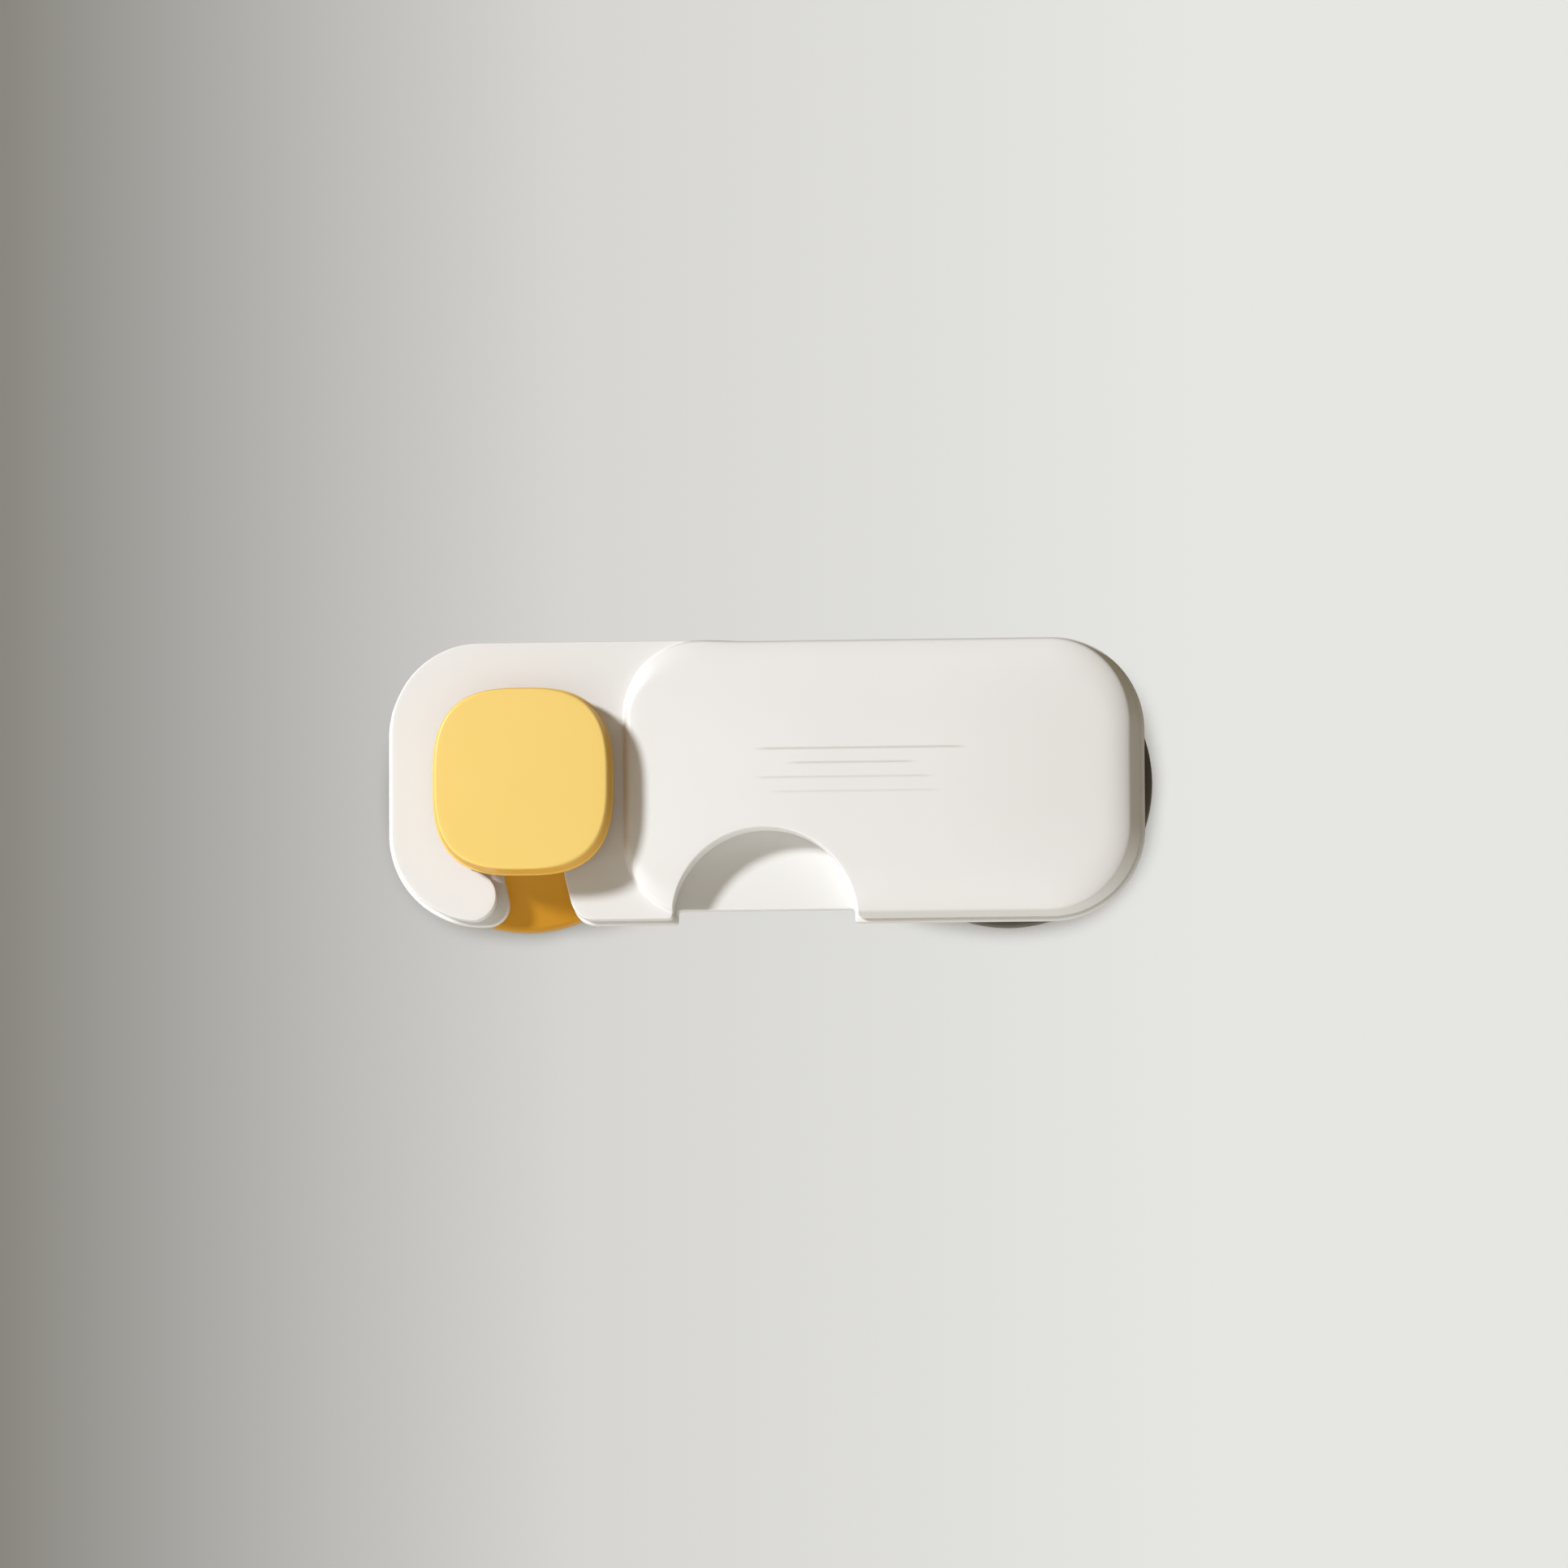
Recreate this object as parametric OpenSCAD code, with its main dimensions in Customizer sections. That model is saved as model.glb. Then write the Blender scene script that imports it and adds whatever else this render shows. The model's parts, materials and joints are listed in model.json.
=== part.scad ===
// Cabinet safety lock: a hooked arm turns on one round base and drops over the post of another.
// Each shape is drawn face-on: x to the right, y up, z out from the adhesive faces, origin on the pivot axis.

/* [Arm] */
// Distance between the pivot axis and the button axis
axis_gap = 75; // [72:0.5:82]
// Length of the arm beyond each axis
end_over = 21.5; // [21:0.1:24]
// Height of the arm
arm_h = 44.8; // [42.8:0.2:47]
// Height of the arm's centre line above the two axes
arm_rise = 0.4; // [0:0.1:1]
// Corner radius of the arm
arm_r = 14.5; // [12:0.5:16]
// Thickness of the back plate
plate_t = 2; // [1.8:0.1:2.6]
// Width of the lip that the back plate shows round the cover
lip = 0.6; // [0.4:0.1:1.2]
// Thickness of the cover over the hook
flat_t = 3; // [2.6:0.1:4]
// Width of the slot that drops over the post
slot_w = 9.4; // [9.2:0.1:10]
// Radius of the corners at the slot's mouth
mouth_r = 3.5; // [2.5:0.25:3.5]
// Setback of the cover's hook tip from the slot
hook_ledge = 1.65; // [1:0.05:2.2]

/* [Raised body] */
// Height of the raised body above the flat hook
body_rise = 3.2; // [2.8:0.1:5]
// Gap between the push button and the foot of the raised body
foot_gap = 1.4; // [1:0.1:3]
// Corner radius at the foot beside the button
foot_r = 12; // [9:0.5:14]
// Run of the sloping wall beside the button
foot_run = 3.4; // [2.4:0.1:5]
// Run of the soft edge on the other sides
edge_run = 3.2; // [2:0.1:4]
// Drop of the soft edge on the other sides
edge_drop = 1.9; // [1.2:0.1:2.2]
// Height of the crown of the face
crown = 0.5; // [0.2:0.1:0.8]
// Wall thickness of the cover
cover_wall = 1.6; // [1.4:0.1:2]
// Radius of the half-round finger recess
recess_r = 14.5; // [12:0.1:15]
// Setback of the back plate's edge at the finger recess
recess_setback = 1.3; // [0.8:0.1:2]
// Length of the longest grip groove
groove_l = 34; // [24:1:40]
// Width of a grip groove
groove_w = 0.8; // [0.6:0.1:1.2]
// Depth of a grip groove
groove_depth = 0.3; // [0.2:0.05:0.4]
// Distance between grip grooves
groove_pitch = 2.3; // [1.8:0.1:3]

/* [Push button] */
// Width of the cap
cap_w = 28.2; // [27.6:0.2:30]
// Height of the cap's outline
cap_h = 29.4; // [28.6:0.2:30]
// Depth of the cap, rim to face
cap_t = 5; // [4.8:0.1:7]
// Draft of the cap's side
cap_draft = 0.5; // [0.2:0.1:0.8]
// Rounding of the cap's face edge
cap_edge = 0.9; // [0.4:0.1:1.2]
// Wall thickness of the cap
cap_wall = 1.6; // [1.2:0.1:2]
// Travel of the button
travel = 2.2; // [1.8:0.1:2.4]
// Gap left under the cap when it is pressed home
press_gap = 0.5; // [0.4:0.1:1.2]

/* [Bases and pads] */
// Diameter of the pivot base
base_d = 45; // [43:0.5:46]
// Diameter of the catch base
catch_d = 42.5; // [41:0.5:42.5]
// Drop of the catch base's disc below its post
catch_drop = 1.2; // [0:0.1:1.5]
// Thickness of each base
base_t = 4; // [3.8:0.1:5]
// Rounding of the base's front edge
base_edge = 0.8; // [0.4:0.1:1]
// Rim of each base past its adhesive pad
pad_inset = 1; // [1:0.25:3]
// Thickness of each adhesive pad
pad_t = 1; // [0.8:0.1:2]
// Gap between the bases and the back of the arm
arm_gap = 0.4; // [0.3:0.05:0.8]

/* [Catch] */
// Outer diameter of the post
post_d = 8.8; // [8:0.1:8.8]
// Diameter of the plunger
plunger_d = 4.5; // [4:0.1:4.8]
// Diameter of the cross pin
pin_d = 1.5; // [1.2:0.1:1.8]
// Length of the return spring at rest
spring_l = 4.4; // [4:0.1:5]
// Diameter of the return spring's wire
wire_d = 0.4; // [0.3:0.05:0.45]
// Width of the leaf spring
leaf_w = 4.6; // [4:0.1:5]
// Thickness of the leaf spring
leaf_t = 0.4; // [0.3:0.05:0.5]
// Reach of the leaf's tooth from the button axis
tooth_reach = 9.6; // [8.8:0.1:10.5]
// Depth to which the tooth stands in the back plate
tooth_bite = 1.4; // [1:0.1:1.6]
// Free play between the plunger and the leaf
free_play = 1; // [0.8:0.1:1.2]

/* [Pivot] */
// Diameter of the boss that the arm turns on
boss_d = 14; // [12:0.5:16]
// Wall of the hub round the boss
hub_wall = 4; // [3:0.5:5]
// Height of the hub above the back plate
hub_rise = 0.6; // [0.5:0.1:1]
// Room for the wave washer
wave_room = 0.8; // [0.6:0.1:1.2]
// Thickness of the wave washer
wave_t = 0.3; // [0.2:0.05:0.4]
// Thickness of the pivot washer
washer_t = 0.8; // [0.6:0.1:1]
// Thread diameter of the pivot screw
pivot_thread = 4; // [3:0.5:5]
// Outer diameter of the threaded insert
insert_d = 6; // [5.5:0.1:7]
// Angle through which the arm lifts, in degrees
swing = 100; // [70:5:110]
// Diameter of the lug that stops the arm
stop_d = 3; // [2.4:0.1:3.4]
// Depth to which the lug reaches into the pivot base
stop_depth = 1.5; // [1:0.1:1.8]

/* [Cover screws] */
// Thread diameter of the cover screws
screw_d = 2.2; // [2:0.1:2.4]
// Head diameter of the cover screws
screw_head = 4.4; // [4:0.1:4.8]
// Length of the screws in the raised body
screw_l = 5.5; // [5:0.5:6]
// Diameter of the cover's screw bosses
boss_wall_d = 5.8; // [5:0.1:6.2]

/* [Hidden] */
$fn = 96;
over = 1;
run_clear = 0.05;
fit_clear = 0.05;
leaf_clear = 0.4;
window_clear = 0.3;

// Levels above the adhesive faces
base_top = pad_t + base_t;
plate_z = base_top + arm_gap;
plate_top = plate_z + plate_t;
flat_top = plate_top + flat_t;
body_top = flat_top + body_rise;
cap_rim = flat_top + press_gap + travel;
cap_top = cap_rim + cap_t;
cap_ceiling = cap_top - cap_wall;

// Outline of the arm
button_x = -axis_gap;
arm_l = axis_gap + 2 * end_over;
arm_mid = -axis_gap / 2;
arm_bottom = arm_rise - arm_h / 2;
cover_l = arm_l - 2 * lip;
cover_h = arm_h - 2 * lip;
cover_r = arm_r - lip;
cover_bottom = arm_bottom + lip;
cover_right = arm_mid + cover_l / 2;
cover_left = arm_mid - cover_l / 2;

// Slot: a ring round the pivot, closed at the post and open at the arm's lower edge
slot_r = slot_w / 2;
slot_in = axis_gap - slot_r;
slot_out = axis_gap + slot_r;

// Opening of the cover round the post, hidden by the cap but for its mouth
pocket_under = 1.7;
pocket_half = cap_w / 2 - pocket_under;
pocket_r = 8;
finger_under = 1.2;
finger_top = -cap_h / 2 + finger_under;
finger_r = (finger_top - cover_bottom) / 2;
finger_y = (finger_top + cover_bottom) / 2;
finger_x = -sqrt(slot_out * slot_out - finger_y * finger_y) - hook_ledge - finger_r;

// Raised body
foot_x = button_x + cap_w / 2 + foot_gap;
body_half = cover_h / 2;
body_mid = (foot_x + cover_right) / 2;
shoulder = body_rise - crown;
low_room = flat_top + shoulder - edge_drop;
high_room = body_top - crown - cover_wall;
high_inset = cover_wall + edge_run;
crown_share = 0.45;
groove_shares = [1, 0.7, 0.88, 0.74];
groove_r = (groove_w * groove_w / 4 + groove_depth * groove_depth) / (2 * groove_depth);
groove_mid_share = 0.46;
groove_x = foot_x + (cover_right - foot_x) * groove_mid_share;

// Catch
bore_d = plunger_d + 2 * run_clear;
channel_w = leaf_w + 2 * leaf_clear;
leaf_screw_d = 1.8;
leaf_head_d = 3.4;
leaf_head_t = 0.8;
leaf_z = base_top - leaf_head_t - leaf_t;
leaf_top = leaf_z + leaf_t;
channel_floor_t = 0.8;
channel_z = pad_t + channel_floor_t;
anchor_edge = 3.75;
anchor_l = 6;
anchor_x = catch_d / 2 - anchor_edge - anchor_l;
anchor_w = 13;
anchor_screw_y = 4;
leaf_screw_l = 2.2;
tooth_top = plate_z + tooth_bite;
tooth_ramp = tooth_bite;
plunger_tip = leaf_top + free_play;
head_d = 9;
head_t = 1.2;
head_z = cap_ceiling - head_t;
socket_wall = 1.3;
post_top = head_z - spring_l;
pin_slot_w = pin_d + 2 * fit_clear;
pin_z = post_top - pin_d - pin_slot_w / 2;
pin_inset = 0.2;
pin_l = post_d - 2 * pin_inset;
spring_d = (post_d + bore_d) / 2;
spring_turns = 3.5;
spring_gap = 0.05;
spring_sides = 6;
spring_rings = 8 * spring_turns;
spring_low = post_top + wire_d / 2 + spring_gap;
spring_climb = spring_l - wire_d - 2 * spring_gap;
cap_power = 2.9;
cap_points = 64;
sheet = 0.02;

// Pivot
hub_d = boss_d + 2 * hub_wall;
hub_top = plate_top + hub_rise;
boss_top = hub_top + wave_room;
ring_seat = 0.4;
ring_in = boss_d + 2 * window_clear;
ring_out = 30;
pivot_washer_d = hub_d - 2 * run_clear;
washer_bore = pivot_thread + 4 * fit_clear;
pivot_head_d = 2 * pivot_thread;
pivot_head_share = 0.38;
pivot_head_t = pivot_head_share * pivot_thread;
pivot_top = boss_top + washer_t + pivot_head_t;
pivot_floor_t = 1.2;
pivot_tip = pad_t + pivot_floor_t;
insert_z = pivot_tip + pivot_floor_t;
recess_share = 0.36;
blade_share = 0.16;
blade_depth_share = 0.4;
wave_count = 3;
wave_steps = 48;
wave_clear = 0.04;
wave_in = boss_d + 2 * window_clear;
stop_r = (ring_out + base_d - 2 * base_edge) / 4;
stop_rest = 90 + swing / 2;

// Screws that hold the cover: two in the hook, four in the raised body
hook_screw_l = plate_t + flat_t - 3 * window_clear;
hook_screw_x = (cover_left + button_x - pocket_half) / 2;
hook_screw_y = 8;
body_screw_inset = 7.4;
body_screw_top = arm_rise + body_half - body_screw_inset;
body_screw_low = arm_rise - body_half + body_screw_inset;
screw_spots = [
    [hook_screw_x, arm_rise + hook_screw_y, hook_screw_l],
    [hook_screw_x, arm_rise - hook_screw_y, hook_screw_l],
    [foot_x + body_screw_inset, body_screw_top, screw_l],
    [foot_x + body_screw_inset, body_screw_low, screw_l],
    [cover_right - body_screw_inset, body_screw_top, screw_l],
    [cover_right - body_screw_inset, body_screw_low, screw_l]
];

// Turns a face-on shape upright, with its front towards -Y
module stand() {
    rotate([90, 0, 0]) children();
}

module at_button() {
    translate([button_x, 0, 0]) children();
}

module round_rect(l, h, r) {
    square([l - 2 * r, h], center = true);
    square([l, h - 2 * r], center = true);
    for (sx = [-1, 1], sy = [-1, 1])
        translate([sx * (l / 2 - r), sy * (h / 2 - r)]) circle(r);
}

// Flat ring from diameter d_in to d_out
module ring(d_in, d_out, t) {
    linear_extrude(t) difference() {
        circle(d = d_out);
        circle(d = d_in);
    }
}

// Disc with a rounded front edge
module soft_edge_disc(d, t, edge) {
    rotate_extrude() difference() {
        union() {
            square([d / 2 - edge, t]);
            square([d / 2, t - edge]);
            translate([d / 2 - edge, t - edge]) circle(edge);
        }
        translate([-d, -d]) square([d, 3 * d]);
        translate([-d, -d]) square([3 * d, d]);
    }
}

// Disc whose upper edge curves in by run over the height drop
module pillow_disc(r, h, run, drop) {
    steps = 8;
    arc = [for (i = [0 : steps]) let (a = 90 * i / steps)
        [r - run * (1 - cos(a)), h - drop * (1 - sin(a))]];
    rotate_extrude($fn = 48) polygon(concat([[0, 0], [r, 0]], arc, [[0, h]]));
}

// Points of the cap's outline, a superellipse
function squircle(w, h) = [
    for (i = [0 : cap_points - 1])
        let (a = 360 * i / cap_points, c = cos(a), s = sin(a))
        [w / 2 * sign(c) * pow(abs(c), 2 / cap_power), h / 2 * sign(s) * pow(abs(s), 2 / cap_power)]
];

// Waste outside a rounded corner of the slot's mouth at the lower edge y: side is 1 for the corner
// on the slot's outer side and -1 for the other, and both rounds touch the slot and the edge
module mouth_corner(y, side) {
    slot_edge = side > 0 ? slot_out : slot_in;
    steps = 12;
    c = [-sqrt(pow(slot_edge + side * mouth_r, 2) - pow(y + mouth_r, 2)), y + mouth_r];
    first = atan2(-c[1], -c[0]) - (side > 0 ? 0 : 180);
    arc = [for (i = [1 : steps])
        let (a = first + (-90 - first) * i / steps) c + mouth_r * [cos(a), sin(a)]];
    inside_slot = c * (slot_edge - side * over) / norm(c);
    below = [[c[0], y - over], [c[0] + side * 2 * mouth_r, y - over]];
    polygon(concat([inside_slot], arc, below));
}

// Slot along its arc round the pivot
module slot_outline() {
    translate([button_x, 0]) circle(slot_r);
    intersection() {
        difference() {
            circle(slot_out);
            circle(slot_in);
        }
        translate([-slot_out, -arm_h]) square([slot_out, arm_h]);
    }
}

module foam_pad(disc) {
    color("gainsboro") cylinder(d = disc - 2 * pad_inset, h = pad_t);
}

module catch_pad() {
    stand() at_button() translate([0, -catch_drop]) foam_pad(catch_d);
}

module pivot_pad() {
    stand() foam_pad(base_d);
}

module catch_base() {
    color("darkgoldenrod") stand() at_button() difference() {
        union() {
            translate([0, -catch_drop, pad_t]) soft_edge_disc(catch_d, base_t, base_edge);
            translate([0, 0, pad_t]) cylinder(d = post_d, h = post_top - pad_t);
        }
        translate([0, 0, channel_z]) cylinder(d = bore_d, h = cap_top);
        leaf_channel();
        for (sy = [-1, 1])
            translate([anchor_x + anchor_l / 2, sy * anchor_screw_y, leaf_z - leaf_screw_l])
                cylinder(d = leaf_screw_d + 2 * fit_clear, h = base_top);
        pin_slots();
    }
}

// Room for the leaf in the base: a channel under the post and a seat for its anchor
module leaf_channel() {
    reach = tooth_reach + leaf_t + 2 * leaf_clear;
    translate([-reach, -channel_w / 2, channel_z])
        cube([reach + anchor_x, channel_w, base_top - channel_z]);
    translate([-reach, -channel_w / 2, channel_z])
        cube([reach - post_d / 2 - leaf_clear, channel_w, base_top]);
    translate([post_d / 2 + leaf_clear, -channel_w / 2, channel_z])
        cube([anchor_x - post_d / 2 - leaf_clear, channel_w, base_top]);
    translate([anchor_x - leaf_clear, -anchor_w / 2 - leaf_clear, leaf_z])
        cube([anchor_l + 2 * leaf_clear, anchor_w + 2 * leaf_clear, base_top]);
}

// Upright slots in two sides of the post, for the cross pin
module pin_slots() {
    for (side = [0, 180])
        rotate([0, 0, side]) translate([0, 0, pin_z]) rotate([-90, 0, 0]) {
            cylinder(d = pin_slot_w, h = post_d);
            translate([0, travel, 0]) cylinder(d = pin_slot_w, h = post_d);
            translate([-pin_slot_w / 2, 0, 0]) cube([pin_slot_w, travel, post_d]);
        }
}

module latch_spring() {
    color("silver") stand() at_button() {
        difference() {
            union() {
                translate([-tooth_reach, -leaf_w / 2, leaf_z])
                    cube([tooth_reach + anchor_x + anchor_l, leaf_w, leaf_t]);
                translate([anchor_x, -anchor_w / 2, leaf_z]) cube([anchor_l, anchor_w, leaf_t]);
            }
            for (sy = [-1, 1])
                translate([anchor_x + anchor_l / 2, sy * anchor_screw_y, leaf_z - over])
                    cylinder(d = leaf_screw_d + 2 * fit_clear, h = leaf_t + 2 * over);
        }
        translate([-tooth_reach, 0, leaf_z]) rotate([90, 0, -90]) linear_extrude(leaf_t)
            polygon([
                [-leaf_w / 2, 0],
                [leaf_w / 2, 0],
                [leaf_w / 2, tooth_top - leaf_z],
                [tooth_ramp - leaf_w / 2, tooth_top - leaf_z],
                [-leaf_w / 2, tooth_top - leaf_z - tooth_ramp]
            ]);
    }
}

module latch_screws() {
    color("dimgray") stand() at_button() for (sy = [-1, 1])
        translate([anchor_x + anchor_l / 2, sy * anchor_screw_y, 0]) {
            translate([0, 0, leaf_z - leaf_screw_l + fit_clear])
                cylinder(d = leaf_screw_d, h = leaf_screw_l + leaf_t);
            translate([0, 0, leaf_top]) difference() {
                cylinder(d = leaf_head_d, h = leaf_head_t);
                translate([0, 0, leaf_head_t]) cross_recess(leaf_head_d, leaf_head_t);
            }
        }
}

module cap_layer(inset, z) {
    translate([0, 0, z - sheet]) linear_extrude(sheet)
        polygon(squircle(cap_w - 2 * inset, cap_h - 2 * inset));
}

module button_cap() {
    color("khaki") stand() at_button() difference() {
        hull() {
            cap_layer(0, cap_rim + sheet);
            for (a = [0, 30, 60, 90])
                cap_layer(cap_draft + cap_edge * (1 - cos(a)), cap_top - cap_edge * (1 - sin(a)));
        }
        difference() {
            translate([0, 0, cap_rim - over]) linear_extrude(cap_ceiling - cap_rim + over)
                polygon(squircle(
                    cap_w - 2 * (cap_wall + cap_draft), cap_h - 2 * (cap_wall + cap_draft)));
            translate([0, 0, head_z]) ring(head_d + 2 * fit_clear, head_d + 2 * socket_wall, cap_top);
        }
    }
}

module button_plunger() {
    color("ivory") stand() at_button() {
        translate([0, 0, head_z]) cylinder(d = head_d, h = head_t);
        difference() {
            translate([0, 0, plunger_tip]) cylinder(d = plunger_d, h = head_z - plunger_tip);
            translate([0, 0, pin_z]) rotate([90, 0, 0])
                cylinder(d = pin_d + 2 * fit_clear, h = 2 * plunger_d, center = true);
        }
    }
}

module button_pin() {
    color("lightsteelblue") stand() at_button()
        translate([0, 0, pin_z]) rotate([90, 0, 0]) cylinder(d = pin_d, h = pin_l, center = true);
}

// Ring i of the return spring's wire
function spring_ring(i) =
    let (turn = 360 * spring_turns * i / spring_rings, z = spring_low + spring_climb * i / spring_rings)
    [for (k = [0 : spring_sides - 1])
        let (a = 360 * k / spring_sides, r = spring_d / 2 + wire_d / 2 * cos(a))
        [r * cos(turn), r * sin(turn), z + wire_d / 2 * sin(a)]];

// Closed tube through rings of equal size
module tube(rings) {
    n = len(rings[0]);
    last = (len(rings) - 1) * n;
    sides = [for (i = [0 : len(rings) - 2], k = [0 : n - 1], half = [0, 1])
        let (a = i * n + k, b = i * n + (k + 1) % n)
        half == 0 ? [a, b, b + n] : [a, b + n, a + n]];
    ends = [for (k = [1 : n - 2], end = [0, 1])
        end == 0 ? [0, k + 1, k] : [last, last + k, last + k + 1]];
    polyhedron([for (r = rings) each r], concat(sides, ends));
}

module button_spring() {
    color("silver") stand() at_button() tube([for (i = [0 : spring_rings]) spring_ring(i)]);
}

module pivot_base() {
    color("dimgray") stand() difference() {
        union() {
            translate([0, 0, pad_t]) soft_edge_disc(base_d, base_t, base_edge);
            translate([0, 0, pad_t]) cylinder(d = boss_d, h = boss_top - pad_t);
        }
        translate([0, 0, base_top - ring_seat])
            ring(ring_in - 2 * fit_clear, ring_out + 2 * fit_clear, ring_seat + over);
        translate([0, 0, insert_z]) cylinder(d = insert_d, h = boss_top);
        translate([0, 0, pivot_tip]) cylinder(d = pivot_thread, h = boss_top);
        translate([0, 0, base_top - stop_depth - window_clear])
            linear_extrude(stop_depth + window_clear + over) stop_groove();
    }
}

// Groove that the arm's lug runs in, from its place at rest to its place when lifted
module stop_groove() {
    half = stop_d / 2 + window_clear;
    steps = 4;
    sector = [for (i = [0 : steps])
        let (a = stop_rest - swing * i / steps) base_d * [cos(a), sin(a)]];
    intersection() {
        difference() {
            circle(stop_r + half);
            circle(stop_r - half);
        }
        polygon(concat([[0, 0]], sector));
    }
    for (a = [stop_rest, stop_rest - swing])
        translate(stop_r * [cos(a), sin(a)]) circle(half);
}

module glide_ring() {
    color("white") stand() translate([0, 0, base_top - ring_seat])
        ring(ring_in, ring_out, ring_seat + arm_gap);
}

module pivot_insert() {
    color("goldenrod") stand() translate([0, 0, insert_z])
        ring(pivot_thread, insert_d, boss_top - insert_z);
}

// Section of the wave washer at step i of its turn
function wave_ring(i) =
    let (a = 360 * i / wave_steps,
        z = hub_top + wave_room / 2 + (wave_room / 2 - wave_t / 2 - wave_clear) * sin(wave_count * a))
    [for (p = [[wave_in, -1], [pivot_washer_d, -1], [pivot_washer_d, 1], [wave_in, 1]])
        [p[0] / 2 * cos(a), p[0] / 2 * sin(a), z + p[1] * wave_t / 2]];

module wave_washer() {
    rings = [for (i = [0 : wave_steps - 1]) wave_ring(i)];
    n = len(rings[0]);
    count = wave_steps * n;
    faces = [for (i = [0 : wave_steps - 1], k = [0 : n - 1], half = [0, 1])
        let (a = i * n + k, b = i * n + (k + 1) % n)
        half == 0 ? [a, b, (b + n) % count] : [a, (b + n) % count, (a + n) % count]];
    color("silver") stand() polyhedron([for (r = rings) each r], faces);
}

module pivot_washer() {
    color("lightsteelblue") stand() translate([0, 0, boss_top])
        ring(washer_bore, pivot_washer_d, washer_t);
}

// Cross for the driver in a screw head of diameter d and height t
module cross_recess(d, t) {
    for (turn = [0, 90])
        rotate([0, 0, turn]) cube([d / 2, d * blade_share, 2 * t * blade_depth_share], center = true);
}

module pivot_screw() {
    color("gray") stand() {
        translate([0, 0, pivot_tip + fit_clear])
            cylinder(d = pivot_thread - 2 * fit_clear, h = boss_top + washer_t - pivot_tip - fit_clear);
        translate([0, 0, boss_top + washer_t]) difference() {
            soft_edge_disc(pivot_head_d, pivot_head_t, pivot_head_t * recess_share);
            translate([0, 0, pivot_head_t]) cross_recess(pivot_head_d, pivot_head_t);
        }
    }
}

module arm_outline() {
    translate([arm_mid, arm_rise]) round_rect(arm_l, arm_h, arm_r);
}

module cover_outline() {
    translate([arm_mid, arm_rise]) round_rect(cover_l, cover_h, cover_r);
}

module arm_back_plate() {
    color("whitesmoke") stand() difference() {
        union() {
            translate([0, 0, plate_z]) linear_extrude(plate_t) difference() {
                arm_outline();
                slot_outline();
                mouth_corner(arm_bottom, -1);
                mouth_corner(arm_bottom, 1);
                translate([arm_mid - recess_r, arm_bottom - over])
                    square([2 * recess_r, recess_setback + over]);
                tooth_window();
            }
            translate([0, 0, plate_z]) cylinder(d = hub_d, h = hub_top - plate_z);
            translate([stop_r * cos(stop_rest), stop_r * sin(stop_rest), base_top - stop_depth])
                cylinder(d = stop_d, h = stop_depth + arm_gap + plate_t / 2);
        }
        translate([0, 0, plate_z - over]) cylinder(d = boss_d + 2 * run_clear, h = hub_top);
        for (spot = screw_spots) translate([spot[0], spot[1], plate_z]) screw_form(fit_clear, plate_t + over);
    }
}

// Window in which the leaf's tooth stands
module tooth_window() {
    translate([button_x - tooth_reach - leaf_t - window_clear, -leaf_w / 2 - window_clear])
        square([leaf_t + 2 * window_clear, leaf_w + 2 * window_clear]);
}

// Countersunk screw, with room round it where clear is not zero
module screw_form(clear, l) {
    sink = (screw_head - screw_d) / 2;
    cylinder(d1 = screw_head + 2 * clear, d2 = screw_d + 2 * clear, h = sink);
    cylinder(d = screw_d + 2 * clear, h = l);
}

module cover_screws() {
    color("lightsteelblue") stand() for (spot = screw_spots)
        translate([spot[0], spot[1], plate_z]) difference() {
            screw_form(0, spot[2]);
            cross_recess(screw_head, (screw_head - screw_d) / 2);
        }
}

// Raised body of the cover: four soft corners and a low crown
module body_form() {
    foot_y = body_half - foot_r;
    right_y = body_half - cover_r;
    translate([0, arm_rise, flat_top]) hull() {
        for (sy = [-1, 1]) {
            translate([foot_x + foot_r, sy * foot_y]) pillow_disc(foot_r, shoulder, foot_run, shoulder);
            translate([cover_right - cover_r, sy * right_y])
                pillow_disc(cover_r, shoulder, edge_run, edge_drop);
        }
        translate([body_mid, 0, body_rise - sheet]) linear_extrude(sheet)
            square([(cover_right - foot_x) * crown_share, cover_h * crown_share], center = true);
    }
}

// Outline of the raised body, drawn in by inset
module body_outline(inset) {
    translate([body_mid, arm_rise])
        round_rect(cover_right - foot_x - 2 * inset, cover_h - 2 * inset, foot_r - inset);
}

// Hollow of the raised body, with the wall of the finger recess left standing
module body_hollow() {
    difference() {
        union() {
            translate([0, 0, plate_top - over]) linear_extrude(low_room - plate_top + over)
                body_outline(cover_wall);
            translate([0, 0, plate_top - over]) linear_extrude(high_room - plate_top + over)
                body_outline(high_inset);
            translate([0, 0, plate_top - over])
                cylinder(d = pivot_head_d + 2 * window_clear, h = pivot_top + window_clear - plate_top + over);
        }
        recess_form(recess_r + cover_wall);
    }
}

module recess_form(r) {
    translate([arm_mid, arm_bottom, plate_top - 2 * over]) cylinder(r = r, h = body_top);
}

// Opening of the cover: a pocket round the post and a mouth that the hook's round tip borders
module cover_opening() {
    translate([button_x, (pocket_half + finger_top) / 2])
        round_rect(2 * pocket_half, pocket_half - finger_top, pocket_r);
    difference() {
        translate([finger_x, -arm_h]) square([-slot_in - finger_x + arm_h, arm_h]);
        translate([finger_x, finger_y]) circle(finger_r);
        difference() {
            circle(slot_in);
            mouth_corner(cover_bottom, -1);
        }
    }
    difference() {
        slot_outline();
        translate([finger_x, finger_y]) circle(finger_r);
    }
}

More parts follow.
